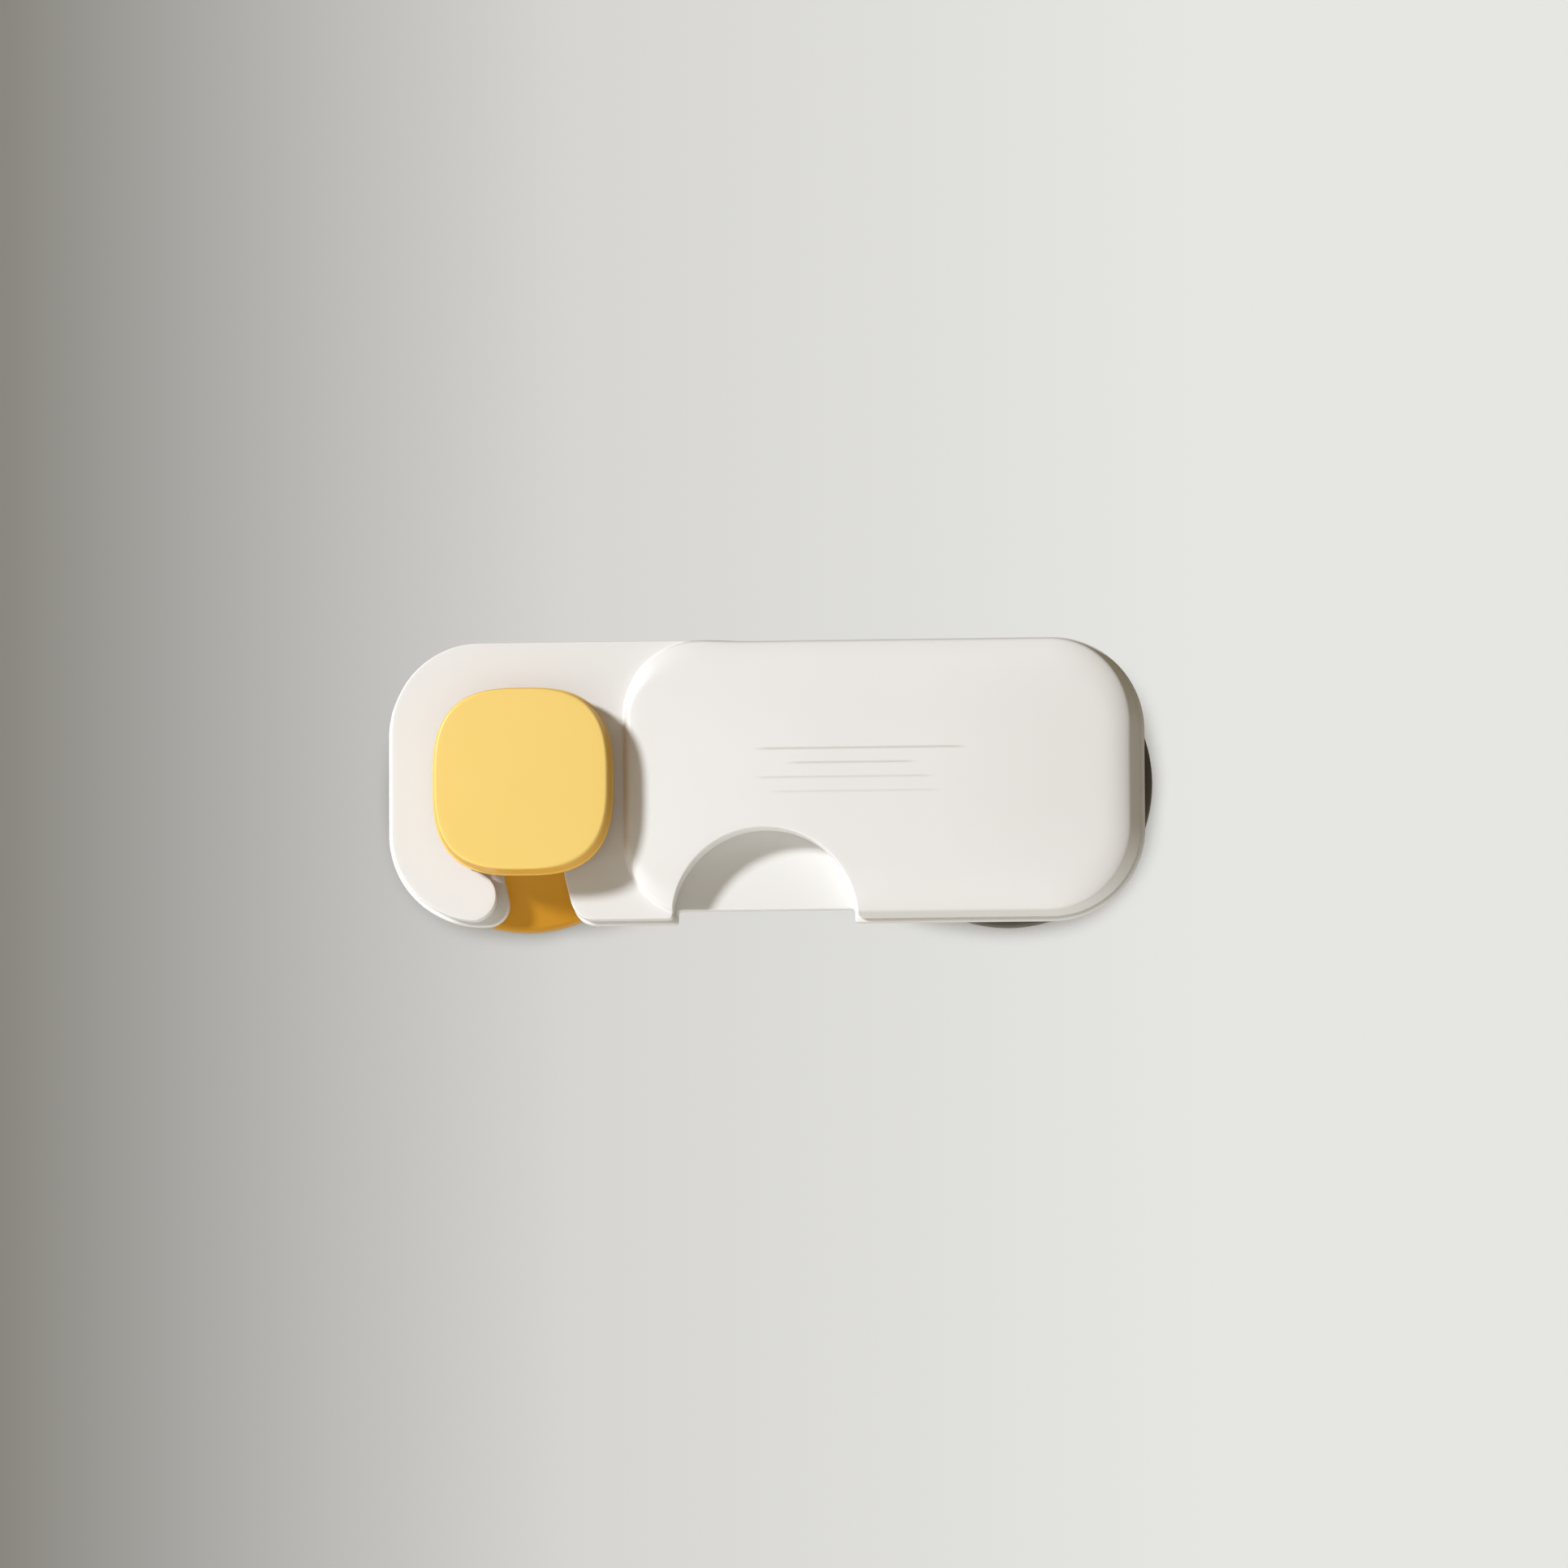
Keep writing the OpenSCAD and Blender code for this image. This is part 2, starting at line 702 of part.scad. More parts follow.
module grip_grooves() {
    first = (len(groove_shares) - 1) / 2;
    for (i = [0 : len(groove_shares) - 1])
        translate([groove_x, arm_rise + (first - i) * groove_pitch, body_top - groove_depth + groove_r])
            rotate([0, 90, 0]) cylinder(r = groove_r, h = groove_l * groove_shares[i], center = true);
}

module arm_cover() {
    color("white") stand() difference() {
        union() {
            difference() {
                union() {
                    translate([0, 0, plate_top]) linear_extrude(flat_t) cover_outline();
                    body_form();
                }
                body_hollow();
            }
            for (i = [2 : len(screw_spots) - 1])
                translate([screw_spots[i][0], screw_spots[i][1], plate_top])
                    cylinder(d = boss_wall_d, h = high_room - plate_top + cover_wall / 2);
        }
        recess_form(recess_r);
        translate([0, 0, plate_top - over]) linear_extrude(flat_t + 2 * over) cover_opening();
        for (spot = screw_spots)
            translate([spot[0], spot[1], plate_z]) cylinder(d = screw_d + 2 * fit_clear, h = spot[2] + fit_clear);
        grip_grooves();
    }
}

catch_pad();
catch_base();
latch_spring();
latch_screws();
button_cap();
button_plunger();
button_pin();
button_spring();
pivot_pad();
pivot_base();
glide_ring();
pivot_insert();
wave_washer();
pivot_washer();
pivot_screw();
arm_back_plate();
arm_cover();
cover_screws();
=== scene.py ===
import json
import math

import bmesh
import bpy
import numpy as np
from mathutils import Matrix, Vector
from mathutils.geometry import delaunay_2d_cdt


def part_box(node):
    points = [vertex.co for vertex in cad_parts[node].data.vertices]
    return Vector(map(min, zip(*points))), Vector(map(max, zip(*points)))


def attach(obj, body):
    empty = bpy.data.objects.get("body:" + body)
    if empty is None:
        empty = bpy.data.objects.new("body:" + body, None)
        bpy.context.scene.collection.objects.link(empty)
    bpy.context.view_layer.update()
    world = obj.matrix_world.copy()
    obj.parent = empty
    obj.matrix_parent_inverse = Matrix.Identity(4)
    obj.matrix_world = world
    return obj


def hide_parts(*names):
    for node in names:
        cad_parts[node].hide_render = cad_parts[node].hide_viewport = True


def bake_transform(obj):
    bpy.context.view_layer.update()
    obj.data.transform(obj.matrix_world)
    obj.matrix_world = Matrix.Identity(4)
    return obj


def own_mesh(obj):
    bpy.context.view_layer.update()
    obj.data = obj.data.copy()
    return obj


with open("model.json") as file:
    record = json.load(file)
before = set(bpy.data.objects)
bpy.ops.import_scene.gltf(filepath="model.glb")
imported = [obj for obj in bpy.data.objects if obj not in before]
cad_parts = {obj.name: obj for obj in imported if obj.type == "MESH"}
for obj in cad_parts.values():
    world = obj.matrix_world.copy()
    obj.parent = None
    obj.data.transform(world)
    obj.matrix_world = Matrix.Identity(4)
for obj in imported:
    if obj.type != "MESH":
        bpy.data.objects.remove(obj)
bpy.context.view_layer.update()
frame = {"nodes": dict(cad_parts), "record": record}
mm = 0.001
slotOf = {part["node"]: part["material_slot"] for part in frame["record"]["subparts"]}
bodyOf = {node: body for body, nodes in frame["record"]["behaviour"]["bodies"].items() for node in nodes}
print("frame loaded:", len(frame["nodes"]), "nodes")


# Shapes are worked out face-on in millimetres: x right, y up, z out from the adhesive faces.
# In the frame, out is -Y and up is +Z.
def faceBox(node):
    lo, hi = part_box(node)
    return {"left": lo.x / mm, "right": hi.x / mm, "low": lo.z / mm, "high": hi.z / mm,
            "back": -hi.y / mm, "front": -lo.y / mm}


def toFrame(points):
    return np.stack([points[:, 0], -points[:, 2], points[:, 1]], axis=1) * mm


plate = faceBox("arm_back_plate")
cover = faceBox("arm_cover")
cap = faceBox("button_cap")
screws = faceBox("cover_screws")
leaf = faceBox("latch_spring")
coil = faceBox("button_spring")
pivotDisc = faceBox("pivot_base")
glide = faceBox("glide_ring")
buttonX = (cap["left"] + cap["right"]) / 2
midX = (plate["left"] + plate["right"]) / 2
midY = (plate["low"] + plate["high"]) / 2
lip = cover["left"] - plate["left"]

# What the two halves of the arm share
arm = {
    "cornerRadius": 14.5,
    "plateThick": 2.0,
    "slotWidth": 9.4,
    "mouthRadius": 3.5,
    "recessRadius": 14.5,
    "recessSetback": 2.1,
    "screwBore": 1.15,
    "screwHead": 2.25,
    "screwInset": 7.4,     # from the foot of the raised body
    "screwRoom": 0.05,     # round each screw
    "hookScrewRise": 8.0,  # of the hook's two screws, from the middle
}
slotIn = -buttonX - arm["slotWidth"] / 2
slotOut = -buttonX + arm["slotWidth"] / 2


# Points along a circle, between two angles in degrees
def arc(centre, radius, start, end, count=40):
    a = np.radians(np.linspace(start, end, count))
    return np.stack([centre[0] + radius * np.cos(a), centre[1] + radius * np.sin(a)], axis=1)


# A closed path as points at even steps along its length
def evenly(path, step):
    ring = np.vstack([path, path[:1]])
    along = np.concatenate([[0], np.cumsum(np.hypot(*np.diff(ring, axis=0).T))])
    at = np.linspace(0, along[-1], int(along[-1] / step), endpoint=False)
    return np.stack([np.interp(at, along, ring[:, 0]), np.interp(at, along, ring[:, 1])], axis=1)


# Rounds every corner of a closed path: each point becomes a bell-weighted mean of its neighbours
def softened(path, width, step):
    n = len(path)
    far = np.minimum(np.arange(n), n - np.arange(n)) * step
    bell = np.exp(-0.5 * (far / width) ** 2)
    spectrum = np.fft.fft(bell / bell.sum())
    return np.stack([np.fft.ifft(np.fft.fft(path[:, k]) * spectrum).real for k in (0, 1)], axis=1)


# Unit normals to the left of the path, which is inwards on a path that runs anticlockwise
def inward(path):
    run = np.roll(path, -1, axis=0) - np.roll(path, 1, axis=0)
    run /= np.linalg.norm(run, axis=1, keepdims=True)
    return np.stack([-run[:, 1], run[:, 0]], axis=1)


# Distance from each point to the nearest of the segments starts-ends
def distanceTo(points, starts, ends):
    span = ends - starts
    square = (span ** 2).sum(1)
    found = []
    for part in np.array_split(points, max(1, len(points) // 1200)):
        off = part[:, None, :] - starts[None]
        share = np.clip((off * span).sum(2) / square, 0, 1)
        off -= share[:, :, None] * span
        found.append(np.sqrt((off ** 2).sum(2).min(1)))
    return np.concatenate(found)


# Which points lie inside the loops, counting the crossings of a ray to the right
def insideLoops(points, loops):
    a = np.vstack(loops)
    b = np.vstack([np.roll(loop, -1, axis=0) for loop in loops])
    rise = np.where(b[:, 1] == a[:, 1], 1e-12, b[:, 1] - a[:, 1])
    found = []
    for part in np.array_split(points, max(1, len(points) // 1500)):
        x, y = part[:, :1], part[:, 1:]
        crossing = (a[:, 1] > y) != (b[:, 1] > y)
        hit = x < a[:, 0] + (y - a[:, 1]) * (b[:, 0] - a[:, 0]) / rise
        found.append((crossing & hit).sum(1) % 2 == 1)
    return np.concatenate(found)


# Triangles that fill an outline with holes in it, through the loops' own points and any inner ones
def filled(loops, inner=None):
    points = np.vstack(loops + ([inner] if inner is not None else []))
    edges, first = [], 0
    for loop in loops:
        index = first + np.arange(len(loop))
        edges.append(np.stack([index, np.roll(index, -1)], axis=1))
        first += len(loop)
    result = delaunay_2d_cdt(points.tolist(), np.vstack(edges).tolist(), [], 0, 1e-7)
    points, faces = np.array(result[0]), np.array(result[2])
    faces = faces[insideLoops(points[faces].mean(1), loops)]
    return points, faces


# Quads between rows of points, each row closed on itself
def strip(rows):
    count, n = rows.shape[:2]
    j = np.arange(n)
    i = np.arange(count - 1)[:, None] * n
    k = (j + 1) % n
    quads = np.stack([i + j, i + k, i + n + k, i + n + j], axis=2).reshape(-1, 4)
    return rows.reshape(-1, 3), quads


# Rows of a turned surface round the axis at centre, from its (radius, height) profile
def turned(centre, profile, count=96):
    a = np.linspace(0, 2 * math.pi, count, endpoint=False)
    r, z = np.array(profile).T
    x = centre[0] + r[:, None] * np.cos(a)
    y = centre[1] + r[:, None] * np.sin(a)
    return np.stack([x, y, np.broadcast_to(z[:, None], x.shape)], axis=2)


# Rows along a path, one for each (inset, height) of the profile
def carried(path, profile):
    side = inward(path)
    return np.stack([np.column_stack([path + inset * side, np.full(len(path), z)])
                     for inset, z in profile])


# A flat cap over loops at height z; back turns it away from the front
def flatCap(loops, z, back=False):
    points, faces = filled(loops)
    points = np.column_stack([points, np.full(len(points), z)])
    return points, faces[:, ::-1] if back else faces


# A turned surface's last ring drawn together at its centre
def fan(ring, z, back=False):
    n = len(ring)
    points = np.vstack([ring, [[ring[:, 0].mean(), ring[:, 1].mean(), z]]])
    j = np.arange(n)
    faces = np.stack([j, (j + 1) % n, np.full(n, n)], axis=1)
    return points, faces[:, ::-1] if back else faces


# 0 below low, 1 above high, and 3t^2 - 2t^3 between them
def smoothstep(low, high, value):
    t = np.clip((value - low) / (high - low), 0, 1)
    return t * t * (3 - 2 * t)


# One object from several surfaces: welded, smooth, with edges sharper than the angle kept crisp
def makePiece(name, surfaces, crisp=40):
    points, faces, first = [], [], 0
    for verts, polys in surfaces:
        points.append(verts)
        faces += (polys + first).tolist()
        first += len(verts)
    mesh = bpy.data.meshes.new(name)
    mesh.from_pydata(toFrame(np.vstack(points)).tolist(), [], faces)
    piece = bpy.data.objects.new(name, mesh)
    bpy.context.scene.collection.objects.link(piece)
    weld(mesh)
    smooth(mesh, crisp)
    return piece


def weld(mesh, distance=2e-6):
    work = bmesh.new()
    work.from_mesh(mesh)
    bmesh.ops.remove_doubles(work, verts=work.verts, dist=distance)
    bmesh.ops.dissolve_degenerate(work, edges=work.edges, dist=1e-7)
    openEdges = sum(len(edge.link_faces) != 2 for edge in work.edges)
    work.to_mesh(mesh)
    work.free()
    print("  ", mesh.name, "faces", len(mesh.polygons), "open edges", openEdges)


def smooth(mesh, crisp):
    mesh.polygons.foreach_set("use_smooth", np.ones(len(mesh.polygons), bool))
    mesh.set_sharp_from_angle(angle=math.radians(crisp))


# Puts a piece in the place of its node, with the node's finish; it rides on the node's body unless it bends
def stands(piece, node, finish, rides=True):
    piece.data.materials.clear()
    piece.data.materials.append(finish)
    if rides:
        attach(piece, bodyOf[node])
    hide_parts(node)
    return piece


# Finishes

def linear(code):
    s = np.array([int(code[i:i + 2], 16) for i in (1, 3, 5)]) / 255
    return (*np.where(s <= 0.04045, s / 12.92, ((s + 0.055) / 1.055) ** 2.4).tolist(), 1.0)


# Adds a node: settings go on its properties or sockets, links join other nodes' sockets to its own
def addNode(tree, kind, settings=None, links=None):
    node = tree.nodes.new(kind)
    for key, value in (settings or {}).items():
        if isinstance(key, str) and hasattr(node, key):
            setattr(node, key, value)
        else:
            node.inputs[key].default_value = value
    for key, socket in (links or {}).items():
        tree.links.new(socket, node.inputs[key])
    return node


# A new material with its shader, set on its own sockets, and the object's own coordinates
def newFinish(name, settings):
    material = bpy.data.materials.new(name)
    material.use_nodes = True
    tree = material.node_tree
    tree.nodes.clear()
    shader = addNode(tree, "ShaderNodeBsdfPrincipled", settings)
    addNode(tree, "ShaderNodeOutputMaterial", None, {"Surface": shader.outputs[0]})
    place = addNode(tree, "ShaderNodeTexCoord").outputs["Object"]
    return material, tree, shader, place


# Moulded ABS, or acetal: a satin skin with the fine spark-eroded grain of the tool, gloss that drifts a little
# along the flow of the melt, and a tone that is never quite even. A coloured one can have painted shade, a
# deeper tone on its side walls, a clear one a painted glow, emission in its own colour, and a pale one painted
# shade along its grooves, as much as an attribute of the piece gives for each point
def mouldedPlastic(name, tone, deep, rough, gloss=0.5, wall=None, paintedGlow=0.0, dust=None):
    spec = {
        "grain": 0.55, "grainDepth": 0.004,  # mm; the real grain of 0.2 would not show
        "drift": 9.0, "flow": 26.0,          # mm
        "sheen": (-0.05, 0.06),              # how much the roughness drifts
        "wallShadeFacing": (-0.2, -0.8),          # painted shade on the side walls: full on a side wall, none on a face that looks forwards
    }
    material, tree, shader, place = newFinish(name, {
        "Roughness": rough, "IOR": 1.53, "Specular IOR Level": gloss, "Emission Strength": paintedGlow})
    drift, flow, grain = (
        addNode(tree, "ShaderNodeTexNoise", {"Scale": 1 / (spec[key] * mm), "Detail": detail},
                {"Vector": place}).outputs[0]
        for key, detail in (("drift", 3.0), ("flow", 2.0), ("grain", 2.0)))
    colour = addNode(tree, "ShaderNodeMix", {"data_type": "RGBA", 6: linear(tone), 7: linear(deep)},
                     {0: flow}).outputs[2]
    smoother, rougher = (rough + change for change in spec["sheen"])
    sheen = addNode(tree, "ShaderNodeMapRange", {"To Min": smoother, "To Max": rougher}, {"Value": drift})
    bump = addNode(tree, "ShaderNodeBump", {"Strength": 0.35, "Distance": spec["grainDepth"] * mm},
                   {"Height": grain})
    # painted shade: side walls take the deeper wall colour, which blends into the plain tone on faces that
    # look forwards
    if wall:
        normal = addNode(tree, "ShaderNodeTexCoord").outputs["Normal"]
        facing = addNode(tree, "ShaderNodeSeparateXYZ", None, {0: normal})
        side, front = spec["wallShadeFacing"]
        out = addNode(tree, "ShaderNodeMapRange", {"From Min": side, "From Max": front},
                      {"Value": facing.outputs[1]})
        colour = addNode(tree, "ShaderNodeMix", {"data_type": "RGBA", 6: linear(wall)},
                         {0: out.outputs[0], 7: colour}).outputs[2]
    # painted shade in the grooves: the darker colour, as far as the piece's attribute says
    if dust:
        grooveShadeShare = addNode(tree, "ShaderNodeAttribute", {"attribute_name": "dust"})
        colour = addNode(tree, "ShaderNodeMix", {"data_type": "RGBA", 7: linear(dust)},
                         {0: grooveShadeShare.outputs["Fac"], 6: colour}).outputs[2]
    tree.links.new(colour, shader.inputs["Base Color"])
    # a glow strength above nought makes this a painted glow in the piece's own colour
    tree.links.new(colour, shader.inputs["Emission Color"])
    tree.links.new(sheen.outputs[0], shader.inputs["Roughness"])
    tree.links.new(bump.outputs[0], shader.inputs["Normal"])
    return material


# Closed-cell foam tape: matt, soft, with round cells open along the cut edge
def foamTape(name, tone, deep):
    spec = {"cell": 0.6, "cellDepth": 0.06}  # mm
    material, tree, shader, place = newFinish(name, {"Roughness": 0.85, "IOR": 1.45})
    cells = addNode(tree, "ShaderNodeTexVoronoi", {"Scale": 1 / (spec["cell"] * mm)}, {"Vector": place})
    blend = addNode(tree, "ShaderNodeMix", {"data_type": "RGBA", 6: linear(deep), 7: linear(tone)},
                    {0: cells.outputs["Distance"]})
    bump = addNode(tree, "ShaderNodeBump", {"Strength": 0.5, "Distance": spec["cellDepth"] * mm},
                   {"Height": cells.outputs["Distance"]})
    tree.links.new(blend.outputs[2], shader.inputs["Base Color"])
    tree.links.new(bump.outputs[0], shader.inputs["Normal"])
    return material


# Bright metal: turned or rolled, with fine lines of the tool along one way and gloss that follows them
def workedMetal(name, tone, deep, rough, stretch):
    spec = {"line": 0.12, "lineDepth": 0.003}  # mm
    material, tree, shader, place = newFinish(name, {"Metallic": 1.0, "Roughness": rough})
    turn = addNode(tree, "ShaderNodeMapping", {"Scale": stretch}, {"Vector": place})
    lines = addNode(tree, "ShaderNodeTexNoise", {"Scale": 1 / (spec["line"] * mm), "Detail": 2.0},
                    {"Vector": turn.outputs[0]})
    blend = addNode(tree, "ShaderNodeMix", {"data_type": "RGBA", 6: linear(tone), 7: linear(deep)},
                    {0: lines.outputs[0]})
    gloss = addNode(tree, "ShaderNodeMapRange", {"To Min": rough - 0.07, "To Max": rough + 0.1},
                    {"Value": lines.outputs[0]})
    bump = addNode(tree, "ShaderNodeBump", {"Strength": 0.3, "Distance": spec["lineDepth"] * mm},
                   {"Height": lines.outputs[0]})
    tree.links.new(blend.outputs[2], shader.inputs["Base Color"])
    tree.links.new(gloss.outputs[0], shader.inputs["Roughness"])
    tree.links.new(bump.outputs[0], shader.inputs["Normal"])
    return material


finishes = {
    # white: the last colour is painted shade in the cover's grooves
    "white_plastic": mouldedPlastic("white moulded ABS", "#E5E4E2", "#E1E0DD", 0.42, dust="#C6C3BC"),
    # yellow: the last colour is painted shade for the cap's side walls
    "yellow_plastic": mouldedPlastic("yellow moulded ABS", "#F0CF77", "#EDCA6F", 0.42, 0.35, "#E0AB3E"),
    # amber: its emission is a painted glow that lights the whole base evenly; its tone is darker to go with it
    "amber_plastic": mouldedPlastic("amber moulded ABS", "#A47318", "#9C6C12", 0.42, 0.3, paintedGlow=0.52),
    "grey_plastic": mouldedPlastic("warm grey moulded ABS", "#534F47", "#4D4942", 0.45),
    "natural_plastic": mouldedPlastic("natural acetal", "#EFEDE4", "#E8E5DA", 0.3),
    "adhesive_foam": foamTape("closed-cell foam tape", "#E4E3DE", "#CFCEC8"),
    "spring_steel": workedMetal("rolled spring steel", "#C9CACB", "#B4B6B8", 0.28, (0.15, 1, 1)),
    "screw_steel": workedMetal("zinc-plated steel", "#BFC3C8", "#A9AEB5", 0.32, (1, 1, 1)),
    "brass": workedMetal("turned brass", "#D9B465", "#C49B4A", 0.28, (1, 0.2, 1)),
}
print("finishes made:", len(finishes))


# The back plate of the arm

# Centre of the rounding at the slot's mouth: a circle that touches the line y and, on one side, the slot's arc
def mouthCentre(y, side):
    cy = y + arm["mouthRadius"]
    reach = (slotOut if side > 0 else slotIn) + side * arm["mouthRadius"]
    return -math.sqrt(reach ** 2 - cy ** 2), cy


# Direction of a point from the pivot, in degrees
def turnOf(point):
    return math.degrees(math.atan2(point[1], point[0])) % 360


# Angle on a circle at which it meets another one, going on from the line of their centres: the cosine rule
def meeting(centre, radius, other, otherRadius):
    off = (centre[0] - other[0], centre[1] - other[1])
    apart = math.hypot(*off)
    share = (otherRadius ** 2 - apart ** 2 - radius ** 2) / (2 * radius * apart)
    return turnOf(off) + math.degrees(math.acos(share))


# Outline of the back plate, anticlockwise: hook, slot along its arc round the pivot, recess, corners
def platePath():
    r, rm = arm["cornerRadius"], arm["mouthRadius"]
    left, right = plate["left"], plate["right"]
    low, high = plate["low"], plate["high"] - plateSpec["topInset"]
    tip, heel = mouthCentre(low, 1), mouthCentre(low, -1)
    notch, up = arm["recessRadius"] - plateSpec["notchLip"], low + arm["recessSetback"]
    return np.vstack([
        arc((left + r, low + r), r, 180, 270),
        arc(tip, rm, -90, turnOf(tip) - 180),
        arc((0, 0), slotOut, turnOf(tip), 180),
        arc((buttonX, 0), arm["slotWidth"] / 2, 180, 0),
        arc((0, 0), slotIn, 180, turnOf(heel)),
        arc(heel, rm, turnOf(heel), 270),
        [[midX - notch, low], [midX - notch, up], [midX + notch, up], [midX + notch, low]],
        arc((right - r, low + r), r, 270, 360),
        arc((right - r, high - r), r, 0, 90),
        arc((left + r, high - r), r, 90, 180),
    ])


plateSpec = {
    "step": 0.35,      # spacing of the points along the outline
    "corner": 0.35,    # softening of the outline's corners
    "rim": 0.35,       # rounding of both rims
    "notchLip": 0.7,   # how much narrower its notch is than the cover's recess
    "topInset": 0.4,   # how much narrower the lip is along the top
    "hubRadius": 11.0,
    "hubBore": 7.05,
    "hubRim": 0.3,     # softening of the hub's and the lug's rims
    "lugRadius": 1.5,
    "lugAngle": 140,
    "discEdge": 0.8,
    "toothWidth": 4.6,
    "toothThick": 0.4,
    "toothRoom": 0.3,
}

# The raised body of the cover begins at footX, where its foot stands beside the button. On each side a wall
# runs up to an edge and a roll goes on from there into the crown; end is the pivot end, side the long sides
bodySpec = {
    "footGap": 1.4,        # between the cap and the foot
    "footRadius": 12.0,
    "foot": {"run": 0.45, "rise": 1.55, "rollRun": 0.8},
    "end": {"run": 1.3, "rise": 1.1, "rollRun": 4.0},
    "side": {"run": 0.5, "rise": 1.1, "rollRun": 6.0},
    "topRun": 0.25,        # run of the wall along the upper side
    "level": 1.85,         # height of wall and roll together above the flat hook
    "drop": 2.4,           # how far the outer walls begin below the flat hook
    "dropRun": 9.0,
    "crownRun": (32.0, 18.0),  # along x and along y
    "crownFrom": 2.5,      # inside the outline, where the crown has its full height
    "edgeSoft": 0.2,       # softening of the wall's upper edge
}
footX = cap["right"] + bodySpec["footGap"]


# Centres of the six screws: two in the hook, then four in the corners of the raised body
def screwPlaces():
    head, rise = arm["screwHead"] - arm["screwRoom"], arm["hookScrewRise"]
    hookX, x0, x1 = screws["left"] + head, footX + arm["screwInset"], screws["right"] - head
    y0, y1 = screws["low"] + head, screws["high"] - head
    return [(hookX, midY + rise), (hookX, midY - rise), (x0, y1), (x0, y0), (x1, y1), (x1, y0)]


spots = screwPlaces()


def backPlate():
    s = plateSpec
    zFront, zBack = cover["back"], cover["back"] - arm["plateThick"]
    path = softened(evenly(platePath(), s["step"]), s["corner"], s["step"])
    bend = np.radians(np.arange(0, 91, 15))
    rim = [(s["rim"] * (1 - math.sin(a)), zBack + s["rim"] * (1 - math.cos(a))) for a in bend]
    rim += [(s["rim"] * (1 - math.cos(a)), zFront - s["rim"] * (1 - math.sin(a))) for a in bend]
    rows = carried(path, rim)
    surfaces = [strip(rows)]
    ring = (glide["right"] - glide["left"] + pivotDisc["right"] - pivotDisc["left"] - 2 * s["discEdge"]) / 4
    lugTurn = math.radians(s["lugAngle"])
    lugAt = (ring * math.cos(lugTurn), ring * math.sin(lugTurn))
    tooth = leaf["left"] - s["toothRoom"], leaf["left"] + s["toothThick"] + s["toothRoom"]
    half = s["toothWidth"] / 2 + s["toothRoom"]
    window = np.array([[tooth[0], -half], [tooth[1], -half], [tooth[1], half], [tooth[0], half]])
    bore, hub, sink = s["hubBore"], s["hubRadius"], arm["screwHead"] - arm["screwBore"]
    frontHoles, backHoles = [window], [window]
    surfaces.append(strip(np.stack([np.column_stack([window, np.full(4, z)]) for z in (zFront, zBack)])))
    # hub: up its outside, over its top and down the bore, with softened rims
    soft, hubTop = s["hubRim"], plate["front"]
    hubRows = turned((0, 0), [(hub, zFront), (hub, hubTop - soft), (hub - soft, hubTop),
                              (bore + soft, hubTop), (bore, hubTop - soft), (bore, zBack + soft),
                              (bore + soft, zBack)], 120)
    surfaces.append(strip(hubRows))
    frontHoles.append(hubRows[0, :, :2])
    backHoles.append(hubRows[-1, :, :2])
    # lug: down from the back to its rounded end
    lug = s["lugRadius"]
    lugRows = turned(lugAt, [(lug - soft, plate["back"]), (lug, plate["back"] + soft), (lug, zBack)], 40)
    surfaces += [strip(lugRows), fan(lugRows[0], plate["back"], True)]
    backHoles.append(lugRows[-1, :, :2])
    for spot in spots:
        hole = turned(spot, [(arm["screwBore"], zFront), (arm["screwBore"], zBack + sink),
                             (arm["screwHead"], zBack)], 40)
        surfaces.append(strip(hole))
        frontHoles.append(hole[0, :, :2])
        backHoles.append(hole[-1, :, :2])
    surfaces.append(flatCap([rows[-1, :, :2]] + frontHoles, zFront))
    surfaces.append(flatCap([rows[0, :, :2]] + backHoles, zBack, True))
    return makePiece("armBackPlate", surfaces)


stands(backPlate(), "arm_back_plate", finishes["white_plastic"])
print("back plate done")


# The cover of the arm

coverSpec = {
    "step": 0.3,
    "corner": 0.4,
    "rim": 0.25,          # rounding of the hook's, the slot's and the recess's edges
    "seam": 0.25,         # rounding at the seam with the back plate
    "flatThick": 3.0,
    "wall": 1.6,
    "pocketHalf": 12.4,
    "pocketRadius": 8.0,
    "fingerUnder": 1.2,
    "hookLedge": 1.65,
    "hollowStep": 0.8,    # spacing and softening of the hollow's outline
    "bossRadius": 2.9,
    "bossRoom": (0.02, 0.4),  # over the back plate and under the ceiling's highest point
    "hookBoreDepth": 2.15,
}

# Where the points of the cover's front lie
frontSpec = {
    "edgeShares": (0.35, 0.7, 1.0),  # rows up the wall of the body's edge, as shares of its run
    "edgeRows": (0.1, 0.2, 0.32, 0.46, 0.65, 0.95, 1.4, 2.1, 3.0, 4.1, 5.4, 6.9),  # and further in
    "footRows": (-0.6, -0.4, -0.25, -0.1, 0.05, 0.2, 0.35, 0.55, 0.75, 0.95, 1.15, 1.35, 1.55, 1.8, 2.1, 2.6,
                 3.3, 4.2, 5.4, 6.8),  # in from the line of the foot
    "rimBend": (24, 42, 60, 75, 90),   # degrees round the other rims
    "grid": 0.85,                      # spacing of the field
    "footBand": (-0.9, 7.2),           # the field stays out of the rows along the foot
    "edgeBand": 7.6,                   # and along the body's edge
    "grooveStep": 0.7,
    "grooveAcross": (1.05, 23),        # half width and count of the lines along a groove
    "onEdge": 0.12,                    # how near the body's outline counts as on it
    "onRecess": 0.15,                  # and how near the recess's
    "snug": 0.96,                      # share of its inset that a point keeps from every edge
    "rimRoom": (0.12, 0.3),            # what the foot's rows and the field keep from the rims
}
flatTop = cover["back"] + coverSpec["flatThick"]
fingerTop = cap["low"] + coverSpec["fingerUnder"]
fingerR = (fingerTop - cover["low"]) / 2
fingerY = (fingerTop + cover["low"]) / 2
fingerX = -math.sqrt(slotOut ** 2 - fingerY ** 2) - coverSpec["hookLedge"] - fingerR

